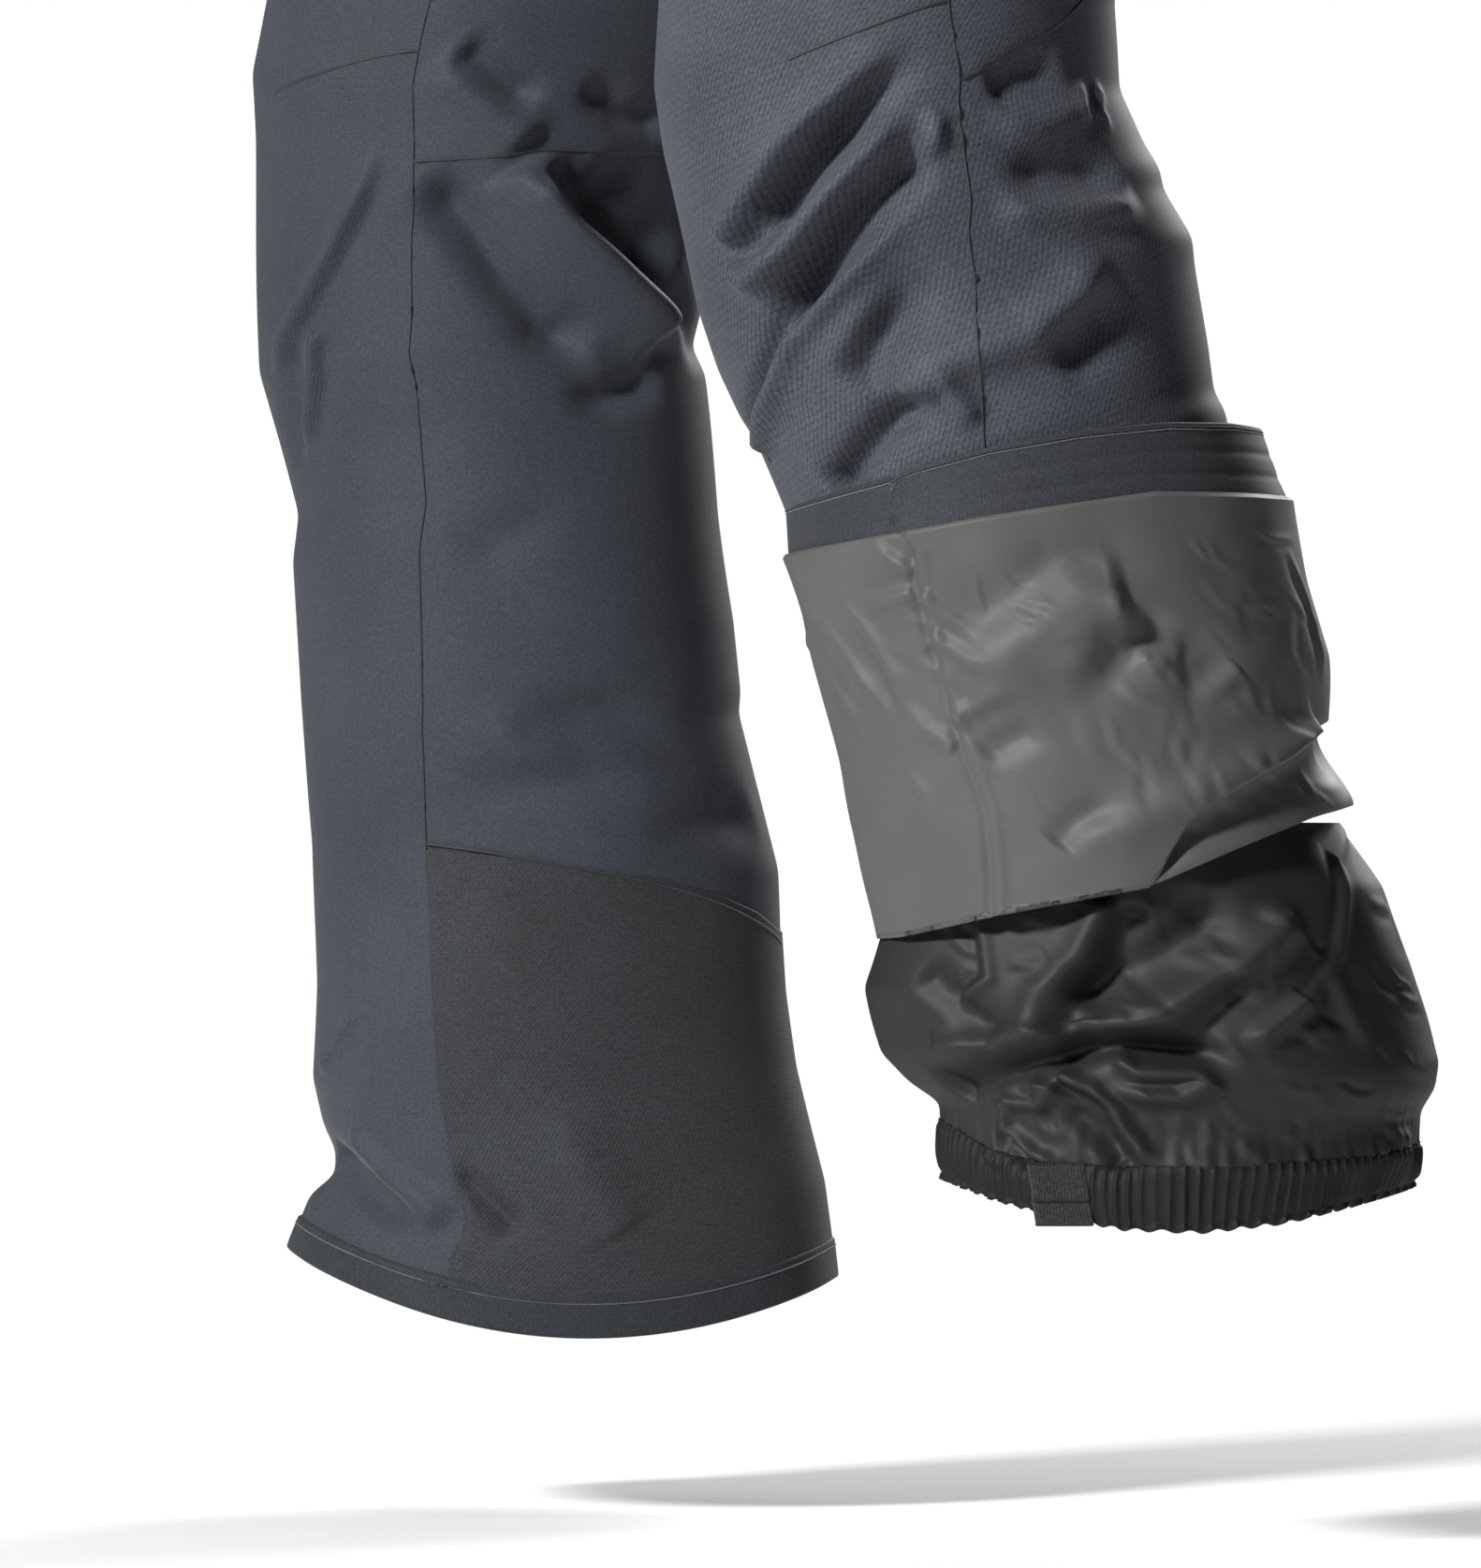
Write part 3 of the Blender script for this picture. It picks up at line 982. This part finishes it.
def padPiece(name, base, first, second, wide, tall, corner, thick, finish, body, slot, nodes):
    # a flat sewn tab: a rounded oblong whose outline is carried from the back, over a rolled
    # edge, to a slightly crowned front; with one row of stitches inside its edge
    base, first, second = (np.array(v, float) for v in (base, first, second))
    out = np.cross(first, second)
    turn = np.linspace(0, 2 * np.pi, 96, endpoint=False)
    sector = np.stack([np.sign(np.cos(turn)), np.sign(np.sin(turn))], 1)
    core = sector * (wide / 2 - corner, tall / 2 - corner)
    shape = core + corner * np.stack([np.cos(turn), np.sin(turn)], 1)
    crown, inset = .0003, .0028
    scale = np.array([0, .35, .7, .92, .985, 1, .985, .92, .5, 0])
    height = thick * np.array([-.5, -.5, -.5, -.48, -.3, 0, .3, .48, .5, .5])
    height = height + crown * (1 - scale ** 2) * (np.arange(10) > 5)
    grid = base + (shape[None, :, :1] * first + shape[None, :, 1:] * second) \
        * scale[:, None, None] + out * height[:, None, None]
    clothPiece(name, grid, shape[:, 0] * scale[:, None], shape[:, 1] * scale[:, None], finish,
               nodes, body, slot)
    small = 1 - inset * 2 / np.array([wide, tall])
    ring = shape * small
    ring = np.concatenate([ring, ring[:1]])
    path = base + ring[:, :1] * first + ring[:, 1:] * second + out * (thick / 2 + crown * .3)
    makeMesh(f"{name}_stitches", *stitchParts(path, np.broadcast_to(out, path.shape), "pad"),
             finishes["darkThread"], body=body)


def webbingTab(name, form, y, levels, body, node):
    # a webbing tab on a gaiter's band: an upper loop and a lower tail
    turn, level = form.place([(y, levels[0])])
    top, out = form.frameAt(turn, level, .0030)
    top, out = top[0], out[0]
    across = unit(np.cross((0, 0, 1), out))
    down = unit(np.cross(across, out))
    down = down * -np.sign(down[2])
    shift = across * .0028
    fall = (levels[0] - levels[1]) / 1000
    mid = top + down * fall * .50 + shift * .5
    low = top + down * fall + shift
    strapPiece(f"{name}_upper", [top - out * .0016, top + out * .0003 + down * .001,
                                 mid + out * .0012, mid + out * .0014 + down * .002,
                                 mid - out * .0012 + down * .0032], across, .0200, .0014,
               finishes["webbing"], body, "webbing", ribs=.00025)
    strapPiece(name, [mid - out * .0016 - down * .001, mid - out * .0002 + down * .0015,
                      low - out * .0004, low - out * .0012 + down * .0014], across, .0200,
               .0014, finishes["webbing"], body, "webbing", ribs=.00025, nodes=(node,))


webbingTab("gaiter_tab_left_strap", gaiter, 60, (-984.5, -1004.5), "gaiter_left",
           "gaiter_tab_left")
strapPiece("gaiter_tab_right_strap", np.array([
    (-.1690, -.1585, -.9796), (-.1742, -.1585, -.9826), (-.1748, -.1585, -.9910),
    (-.1736, -.1585, -.9940), (-.1746, -.1585, -.9970), (-.1738, -.1585, -1.0046)]),
    np.array([0, 1.0, 0]), .0190, .0014, finishes["webbing"], "gaiter_right", "webbing",
    ribs=.00025, nodes=("gaiter_tab_right",))


# small parts of the right leg's lower end
hemBand = {"top": -1.0172, "low": -1.0300}


def rightHem():
    # the hem's folded edge: an outer face, a rolled lower edge and an inner face
    turn = np.linspace(-np.pi, np.pi, 420, endpoint=False)[None, :]
    level = np.concatenate([[hemBand["top"] + .0012, hemBand["top"] + .0004],
                            np.linspace(hemBand["top"], hemBand["low"] + .0012, 26),
                            hemBand["low"] + np.array([.0004, 0, .0004, .0014]),
                            np.linspace(hemBand["low"] + .003, -1.004, 14)])[:, None]
    grow = np.concatenate([[-.0006, .0008], np.full(26, .0012), [.0009, -.0002, -.0013, -.0018],
                           np.full(14, -.0020)])[:, None]
    ripple = .0004 * drift(turn * 3, level, 41)
    grid = right.skin(turn, level, grow + ripple)
    clothPiece("hem_band_right_cloth", grid, turn * legRadius, level, finishes["trim"],
               ("hem_band_right",), "shin_right", "trim")
    turn = np.linspace(-np.pi, np.pi, 700)
    path, out = right.frameAt(turn, hemBand["top"] - .0020 + 0 * turn,
                              .0012 + .0004 * drift(turn * 3, hemBand["top"] + 0 * turn, 41))
    makeMesh("hem_stitches_right", *stitchParts(path, out, "hem"), finishes["paleThread"],
             body="shin_right")


rightHem()


def patchPiece(name, form, topCurve, lowLevel, frontLine, grow, body, node, wall):
    # a scuff patch on the inside of an ankle; its front edge follows the inseam
    rows, cols = 150, 170
    share = np.linspace(0, 1, cols)[None, :]
    down = np.linspace(0, 1, rows)[:, None]
    level = np.full((rows, cols), -.95)
    frontTurn, frontLevels = form.place(frontLine)
    for _ in range(3):
        start = np.interp(-level, -frontLevels, frontTurn)
        turn = start + share * (1.62 - start)
        top = form.levelOf(topCurve, turn, -.88)
        top = top + form.at("drop", top) * np.cos(turn) ** 2
        level = top + down * (lowLevel - top)
    grid = form.skin(turn, level, grow)
    clothPiece(name, grid, turn * legRadius, level, finishes["patch"], (node,), body, "patch",
               wall, (1, .3, 0), aroundCols=False)


patchPiece("kick_patch_right_cloth", right,
           [(-180, -874), (-164, -876), (-142, -879), (-110, -885), (-77, -892), (-56, -899),
            (-45, -905), (-36, -913), (0, -935)], -1.0185,
           [(-164, -870), (-162, -924), (-160, -953), (-154, -981), (-154, -1002),
            (-157, -1023), (-161, -1050)],
           .0007, "shin_right", "kick_patch_right", -.0006)
rim = [(-164, -876), (-142, -879), (-110, -885), (-77, -892), (-56, -899), (-45, -905),
       (-36, -913)]
seamPiece("patch_seam_right", right, [rim], finishes["seamThread"], lift=.0008)
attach(bpy.data.objects["patch_seam_right"], "shin_right")

# inside the right leg: a slack lining, and inside the left cuff the other scuff patch


def innerPiece(name, form, turns, levels, grow, finish, body, slot, node, rows, cols, wall=0.0,
               ripple=.0006, outward=None):
    # cloth that keeps a set distance from a skin: all the way round, or between two turns
    closed = turns is None
    turn = (np.linspace(-np.pi, np.pi, cols, endpoint=False) if closed
            else np.linspace(*turns, cols))[None, :]
    level = np.linspace(*levels, rows)[:, None]
    grid = form.skin(turn, level, grow + ripple * drift(turn * 3, level * 2, 51))
    return clothPiece(name, grid, turn * legRadius, level, finish, (node,), body, slot, wall,
                      outward, aroundCols=closed)


inner = innerPiece("leg_lining_right_cloth", right, None, (-.868, -1.006), -.0042,
                   finishes["lining"], "shin_right", "lining", "leg_lining_right", 120, 260,
                   ripple=.0010)
innerPiece("kick_patch_left_cloth", left, (1.40, 3.60), (-.768, -.872), .0012,
           finishes["patch"], "shin_left", "patch", "kick_patch_left", 60, 90, wall=-.0007,
           ripple=.0, outward=(-1, .5, 0))

# the waist: band, facing, loops, tabs, snap, zips and pockets
waist = {"halfWidth": .146, "halfDepth": .108, "flareWidth": .006, "flareDepth": .005}


def waistPoint(turn, z, grow=0.0):
    # an ellipse that widens downwards, grown outwards
    flare = -z / .045
    x = (waist["halfWidth"] + waist["flareWidth"] * flare + grow) * np.cos(turn)
    y = (waist["halfDepth"] + waist["flareDepth"] * flare + grow) * np.sin(turn)
    return np.stack(np.broadcast_arrays(x, y, z + 0 * turn), -1)


def waistRing(name, profile, ripple, finish, slot, node):
    # a profile of (height, distance outwards) carried round the waist, with a slow ripple
    turn = np.linspace(-np.pi, np.pi, 420, endpoint=False)[None, :]
    z, grow = (np.array(profile)[:, k][:, None] for k in (0, 1))
    wave = ripple * drift(turn * 4, z * .4, 61) * np.sin(np.pi * np.clip(-z / .045, 0, 1))
    length = np.concatenate([[0], np.cumsum(np.hypot(*np.diff(np.array(profile), axis=0).T))])
    clothPiece(name, waistPoint(turn, z, grow + wave), turn * waistRadius, length[:, None],
               finish, (node,), "seat", slot, aroundRows=True)


outer = [(z, .0006 + .0005 * math.sin(math.pi * z / -.0455))
         for z in np.linspace(-.0452, -.0008, 24)]
waistRing("waistband_cloth", outer + [(-.0002, .0001), (0, -.0005), (-.0002, -.0011)]
          + [(z, -.0014) for z in np.linspace(-.0012, -.0446, 14)] + [(-.0454, -.0004)],
          .0006, finishes["facing"], "facing", "waistband")
waistRing("waist_facing_cloth", [(z, -.0024) for z in np.linspace(-.0425, -.0035, 20)]
          + [(-.0030, -.0029)] + [(z, -.0034) for z in np.linspace(-.0035, -.0425, 20)]
          + [(-.0430, -.0029)], .0004, finishes["lining"], "facing", "waist_facing")
around = np.linspace(-np.pi, np.pi, 900)
rows = []
for z in (-.0032, -.0418):
    path = waistPoint(around, z, .0009 + 0 * around)
    out = unit(path * (1 / .15 ** 2, 1 / .11 ** 2, 0))
    rows.append(stitchParts(path, out, "waist"))
makeMesh("waist_stitches", *joinParts(rows), finishes["darkThread"], body="seat")

beltLoop = {"aside": .060, "width": .010, "thickness": .0017, "tackEnd": .0174, "tacks": 15,
            "arch": [(-.0190, .0018), (-.0160, .0020), (-.0145, .0042), (-.0122, .0068),
                     (-.006, .0078), (.006, .0078), (.0122, .0068), (.0145, .0042),
                     (.0160, .0020), (.0190, .0018)]}
for place, side, back in (("front_left", 1, -1), ("front_right", -1, -1), ("back_left", 1, 1),
                          ("back_right", -1, 1)):
    feet = [np.array([side * beltLoop["aside"],
                      back * (waist["halfDepth"] + waist["flareDepth"] * g) * math.sqrt(1 - (
                          beltLoop["aside"] / (waist["halfWidth"] + waist["flareWidth"] * g)) ** 2),
                      -.045 * g]) for g in (0, 1)]
    rise = unit(feet[0] - feet[1])
    along = unit(np.array([feet[1][1] / .113 ** 2, -side * beltLoop["aside"] / .152 ** 2, 0]))
    out = np.cross(along, rise)
    out = out * math.copysign(1, out[1] * back)
    base = (feet[0] + feet[1]) / 2
    path = [base + rise * r + out * o for r, o in beltLoop["arch"]]
    strapPiece(f"belt_loop_{place}_strap", path, along, beltLoop["width"], beltLoop["thickness"],
               finishes["trim"], "seat", "trim", nodes=(f"belt_loop_{place}",))
    bars = []
    for end in (-beltLoop["tackEnd"], beltLoop["tackEnd"]):
        count = beltLoop["tacks"]
        spots = base + rise * end + out * .0030 \
            + along * np.linspace(-.0038, .0038, count)[:, None]
        bars.append(dashParts(spots, np.tile(rise, (count, 1)), np.tile(out, (count, 1)), .0024,
                              .0006, .0005))
    makeMesh(f"belt_loop_{place}_tacks", *joinParts(bars), finishes["darkThread"], body="seat")

padPiece("waist_tab_cloth", (-.010, -.1156, -.0225), (1, 0, 0), (0, 0, 1), .058, .034, .008,
         .0018, finishes["facing"], "waist_tab", "facing", ("waist_tab",))
for name, side in (("left", 1), ("right", -1)):
    padPiece(f"waist_adjuster_{name}_cloth", (side * .1542, .010, -.0225), (0, side, 0),
             (0, 0, 1), .052, .024, .006, .0019, finishes["trim"], f"adjuster_{name}", "trim",
             (f"waist_adjuster_{name}",))


def turnedPiece(name, profile, base, finish, body, slot, node):
    # a (radius, distance to the front) profile turned about a line along the depth
    turn = np.linspace(0, 2 * np.pi, 48, endpoint=False)
    radius, front = (np.array(profile)[:, k][:, None] for k in (0, 1))
    points = np.stack(np.broadcast_arrays(radius * np.cos(turn), -front + 0 * turn,
                                          radius * np.sin(turn)), -1) + np.array(base)
    points = points.reshape(-1, 3)
    obj = makeMesh(name, points, facing(points, gridFaces(len(profile), 48)), finish, None,
                   body, slot)
    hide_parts(node)


turnedPiece("snap_cap_domed", [(0, 0), (.0070, 0), (.0075, .0005), (.0075, .0009),
                               (.0068, .0014), (.0060, .0015), (.0056, .0012), (.0040, .0016),
                               (.0020, .0019), (0, .0020)],
            (-.024, -.1168, -.0225), finishes["snap"], "waist_tab", "snap", "snap_cap")
turnedPiece("snap_socket_ring", [(0, 0), (.0058, 0), (.0060, .0004), (.0058, .0010),
                                 (.0036, .0013), (.0030, .0016), (.0022, .0010), (0, .0009)],
            (-.024, -.1126, -.0225), finishes["snap"], "seat", "snap", "snap_socket")


def zipPiece(name, low, high, normal, wide, lift, body, node, form=None):
    # a tape between two ends, laid on a form's skin where one is given, with interlocked teeth
    # down its middle and a stitch row at each edge
    low, high, normal = (np.array(v, float) for v in (low, high, normal))
    path = low + (high - low) * np.linspace(0, 1, 80)[:, None]
    out = np.tile(unit(normal - unit(high - low) * normal.dot(unit(high - low))), (80, 1))
    if form:
        turn = np.arctan2((path[:, 1] - form.at("mid", path[:, 2])) / form.at("deep", path[:, 2]),
                          (path[:, 0] - form.side * form.at("centre", path[:, 2]))
                          / form.at("half", path[:, 2]))
        path, out = form.frameAt(turn, path[:, 2])
        out = out * np.sign((out * normal).sum(1, keepdims=True))
    across = unit(np.cross(np.gradient(path, axis=0), out))
    u = np.linspace(-1, 1, 21)[None, :, None]
    bulge = .00045 * np.exp(-(u / .22) ** 2)
    grid = path[:, None] + across[:, None] * u * wide / 2 + out[:, None] * (lift + bulge)
    clothPiece(f"{name}_tape", grid, u[..., 0] * wide / 2, np.linspace(0, .14, 80)[:, None],
               finishes["zipTape"], (node,), body, "zip_tape", -.0006, normal, aroundCols=False)
    both = evenly(np.concatenate([path, out, across], 1), .00125)
    along = unit(np.gradient(both[:, :3], axis=0))
    lean = both[:, 6:] + along * .16 * np.where(np.arange(len(both)) % 2, 1, -1)[:, None]
    teeth = dashParts(both[:, :3] + both[:, 3:6] * (lift + .0008), lean, both[:, 3:6],
                      .0042, .0009, .0010)
    makeMesh(f"{name}_teeth", *teeth, finishes["zipTeeth"], body=body)
    rows = [stitchParts(path + across * s * (wide / 2 - .0013) + out * (lift + .0002), out,
                        "zip") for s in (-1, 1)]
    makeMesh(f"{name}_stitches", *joinParts(rows), finishes["darkThread"], body=body)


for name, form, side, lean in (("left", left, 1, 0), ("right", right, -1, 1)):
    zipPiece(f"pocket_zip_{name}", (side * .1671, -.0710, -.188), (side * .1352, -.0579, -.0596),
             (side * .785, -.619, 0), .014, .0008, "seat", f"pocket_zip_{name}", form)
    zipPiece(f"vent_zip_{name}", (side * .1926, .004 - .117 * lean, -.518),
             (side * .1998, .004 - .0547 * lean, -.372), (side, 0, 0), .014, .0008,
             f"thigh_{name}", f"vent_zip_{name}", form)
    span = (-.98, -.22) if side > 0 else (math.pi + .98, math.pi + .22)
    innerPiece(f"pocket_bag_{name}_cloth", form, span, (-.068, -.214), -.0036,
               finishes["lining"], "seat", "lining", f"pocket_bag_{name}", 50, 40, wall=-.0012,
               ripple=.0, outward=(side, -1, 0))
flyTop, flyLow = (0, -.1115, -.0500), (0, -.1311, -.1940)
zipPiece("fly_zip", flyLow, flyTop, (0, -1, 0), .024, .0004, "seat", "fly_zip")


def shieldPiece():
    # a soft strip behind the fly's zip
    u, v = np.linspace(-1, 1, 14)[None, :], np.linspace(0, 1, 40)[:, None]
    z = -.0530 - .139 * v
    y = -.113 - .136 * (-z - .0456) + .0062 + .0010 * np.sin(v * 9)
    grid = np.stack(np.broadcast_arrays(.0195 * u, y, z), -1)
    clothPiece("fly_shield_cloth", grid, .0195 * u, z, finishes["facing"], ("fly_shield",),
               "seat", "facing", -.0010, (0, -1, 0), aroundCols=False)


shieldPiece()


def gussetPiece():
    # a long diamond of cloth under the crotch, from the front over the saddle to the back
    spine = [(-.1290, -.190, .0060), (-.1318, -.215, .0110), (-.1330, -.235, .0140),
             (-.1275, -.255, .0160), (-.1130, -.272, .0170), (-.0880, -.286, .0170),
             (-.0500, -.2975, .0170), (0, -.3015, .0170), (.0500, -.2975, .0170),
             (.0900, -.286, .0170), (.1150, -.272, .0170), (.1310, -.255, .0160),
             (.1375, -.235, .0140), (.1385, -.215, .0110), (.1370, -.190, .0060)]
    path = evenly(np.array(spine), .003)
    run = unit(np.gradient(path[:, :2], axis=0))
    out = np.stack([run[:, 1], -run[:, 0]], 1)
    u = np.linspace(-1, 1, 13)
    crown = .0012 * (1 - u ** 2)[None, :]
    y = path[:, :1] + out[:, :1] * crown
    z = path[:, 1:2] + out[:, 1:] * crown
    x = path[:, 2:] * 1.15 * u[None, :]
    clothPiece("crotch_gusset_cloth", np.stack([x, y, z], -1), x,
               np.arange(len(path))[:, None] * .003, finishes["rightShell"], ("crotch_gusset",),
               "seat", "trim", -.0010, (0, 0, -1), aroundCols=False)


gussetPiece()

# the centre seam at the back of the seat, and a row of stitches on each side of it
z = np.linspace(-.046, -.246, 200)
path, out = left.frameAt(left.turnAt(0, z), z)
path[:, 0] = 0
out = unit(out * (0, 1, 1))
makeMesh("seat_seam_back", *cordParts(path + out * .0002, out, .0010, .0009),
         finishes["seamThread"], body="seat")
for name, form in (("left", left), ("right", right)):
    z = np.linspace(-.047, -.240, 220)
    turn = form.turnAt(.0045, z)
    path, out = form.frameAt(turn if form.side > 0 else np.pi - turn, z)
    makeMesh(f"seat_back_stitches_{name}", *stitchParts(path, out, "shell"),
             finishes["darkThread"], body="seat")

# the fly's curved topstitching on the left front, two rows
rows = []
for inset in (.034, .0385):
    bend = np.linspace(0, math.pi / 2, 60)
    z = np.concatenate([np.linspace(-.047, -.160, 120), -.160 - .040 * np.sin(bend)])
    x = np.concatenate([np.full(120, inset), .004 + (inset - .004) * np.cos(bend)])
    path, out = left.frameAt(-left.turnAt(x, z), z)
    rows.append(stitchParts(path, out, "shell"))
makeMesh("fly_stitches", *joinParts(rows), finishes["darkThread"], body="seat")

# side seams from the waist to the knee
for name, form in (("left", left), ("right", right)):
    sides = [(0 if name == "left" else 180, z) for z in (-47, -120, -200, -290, -366)]
    path, out = form.line(sides, turned=True)
    seam = makeMesh(f"hip_seam_{name}", *cordParts(path + out * .0001, out, .0008, .0008),
                    finishes["seamThread"])
    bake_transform(seam)
    both = []
    for offset in (-2.2, 2.2):
        row = [(turn + offset, z) for turn, z in sides]
        path, out = form.line(row, turned=True)
        both.append(stitchParts(path, out, "shell"))
    stitches = makeMesh(f"hip_stitches_{name}", *joinParts(both), finishes["darkThread"])
    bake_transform(stitches)

# metal sliders and pullers keep their solids, with softened edges
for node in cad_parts:
    if "slider" in node or "puller" in node:
        obj = bpy.data.objects[node]
        if not obj.material_slots:
            obj.data.materials.append(finishes["zipMetal"])
        for spot in obj.material_slots:
            spot.material = finishes["zipMetal"]
print("waist made")

# floor, light and camera
floorMesh = bpy.data.meshes.new("floor")
edge = np.linspace(0, 2 * np.pi, 96, endpoint=False)
floorMesh.from_pydata(np.stack([1.5 * np.cos(edge), 1.5 * np.sin(edge), -1.12 + 0 * edge],
                               1).tolist(), [], [tuple(range(96))])
floor = bpy.data.objects.new("floor", floorMesh)
bpy.context.scene.collection.objects.link(floor)
pale = Finish("paleFloor", Roughness=0.9, Specular_IOR_Level=0.1,
              Base_Color=(0.80, 0.80, 0.80), Emission_Color=(1, 1, 1), Emission_Strength=0.12)
floorMesh.materials.append(pale.material)

lights = {
    "key": dict(at=(2.5, -2.3, 1.0), aim=(0.1, -.05, -.80), size=0.5, power=215),
    "top": dict(at=(0.1, -0.6, 2.4), aim=(0.1, 0, -1.1), size=1.6, power=20),
    "back": dict(at=(-3.0, 1.6, 0.9), aim=(0, 0, -.6), size=1.4, power=120),
}
for name, spec in lights.items():
    lamp = bpy.data.lights.new(name, "AREA")
    lamp.size, lamp.energy = spec["size"], spec["power"]
    obj = bpy.data.objects.new(name, lamp)
    obj.location = spec["at"]
    away = np.array(spec["at"]) - np.array(spec["aim"])
    obj.rotation_euler = (math.atan2(math.hypot(away[0], away[1]), away[2]), 0,
                          math.atan2(away[0], -away[1]))
    bpy.context.scene.collection.objects.link(obj)

world = bpy.data.worlds.new("studio")
bpy.context.scene.world = world
world.use_nodes = True
tree = world.node_tree
around = tree.nodes["Background"]
around.inputs[1].default_value = 0.015
seen = tree.nodes.new("ShaderNodeBackground")
seen.inputs[0].default_value = (1, 1, 1, 1)
around.inputs[0].default_value = (1, 1, 1, 1)
choose, rays = tree.nodes.new("ShaderNodeMixShader"), tree.nodes.new("ShaderNodeLightPath")
tree.links.new(rays.outputs["Is Camera Ray"], choose.inputs[0])
tree.links.new(around.outputs[0], choose.inputs[1])
tree.links.new(seen.outputs[0], choose.inputs[2])
tree.links.new(choose.outputs[0], tree.nodes["World Output"].inputs[0])

lens = bpy.data.cameras.new("camera")
lens.sensor_fit, lens.sensor_height, lens.lens = "VERTICAL", 36, 277.7
lens.clip_end = 60
camera = bpy.data.objects.new("camera", lens)
camera.location = (4.32, -0.05, -0.8545)
camera.rotation_euler = (math.pi / 2, 0, math.pi / 2)
bpy.context.scene.collection.objects.link(camera)
bpy.context.scene.camera = camera
bpy.context.scene.view_settings.view_transform = "Standard"
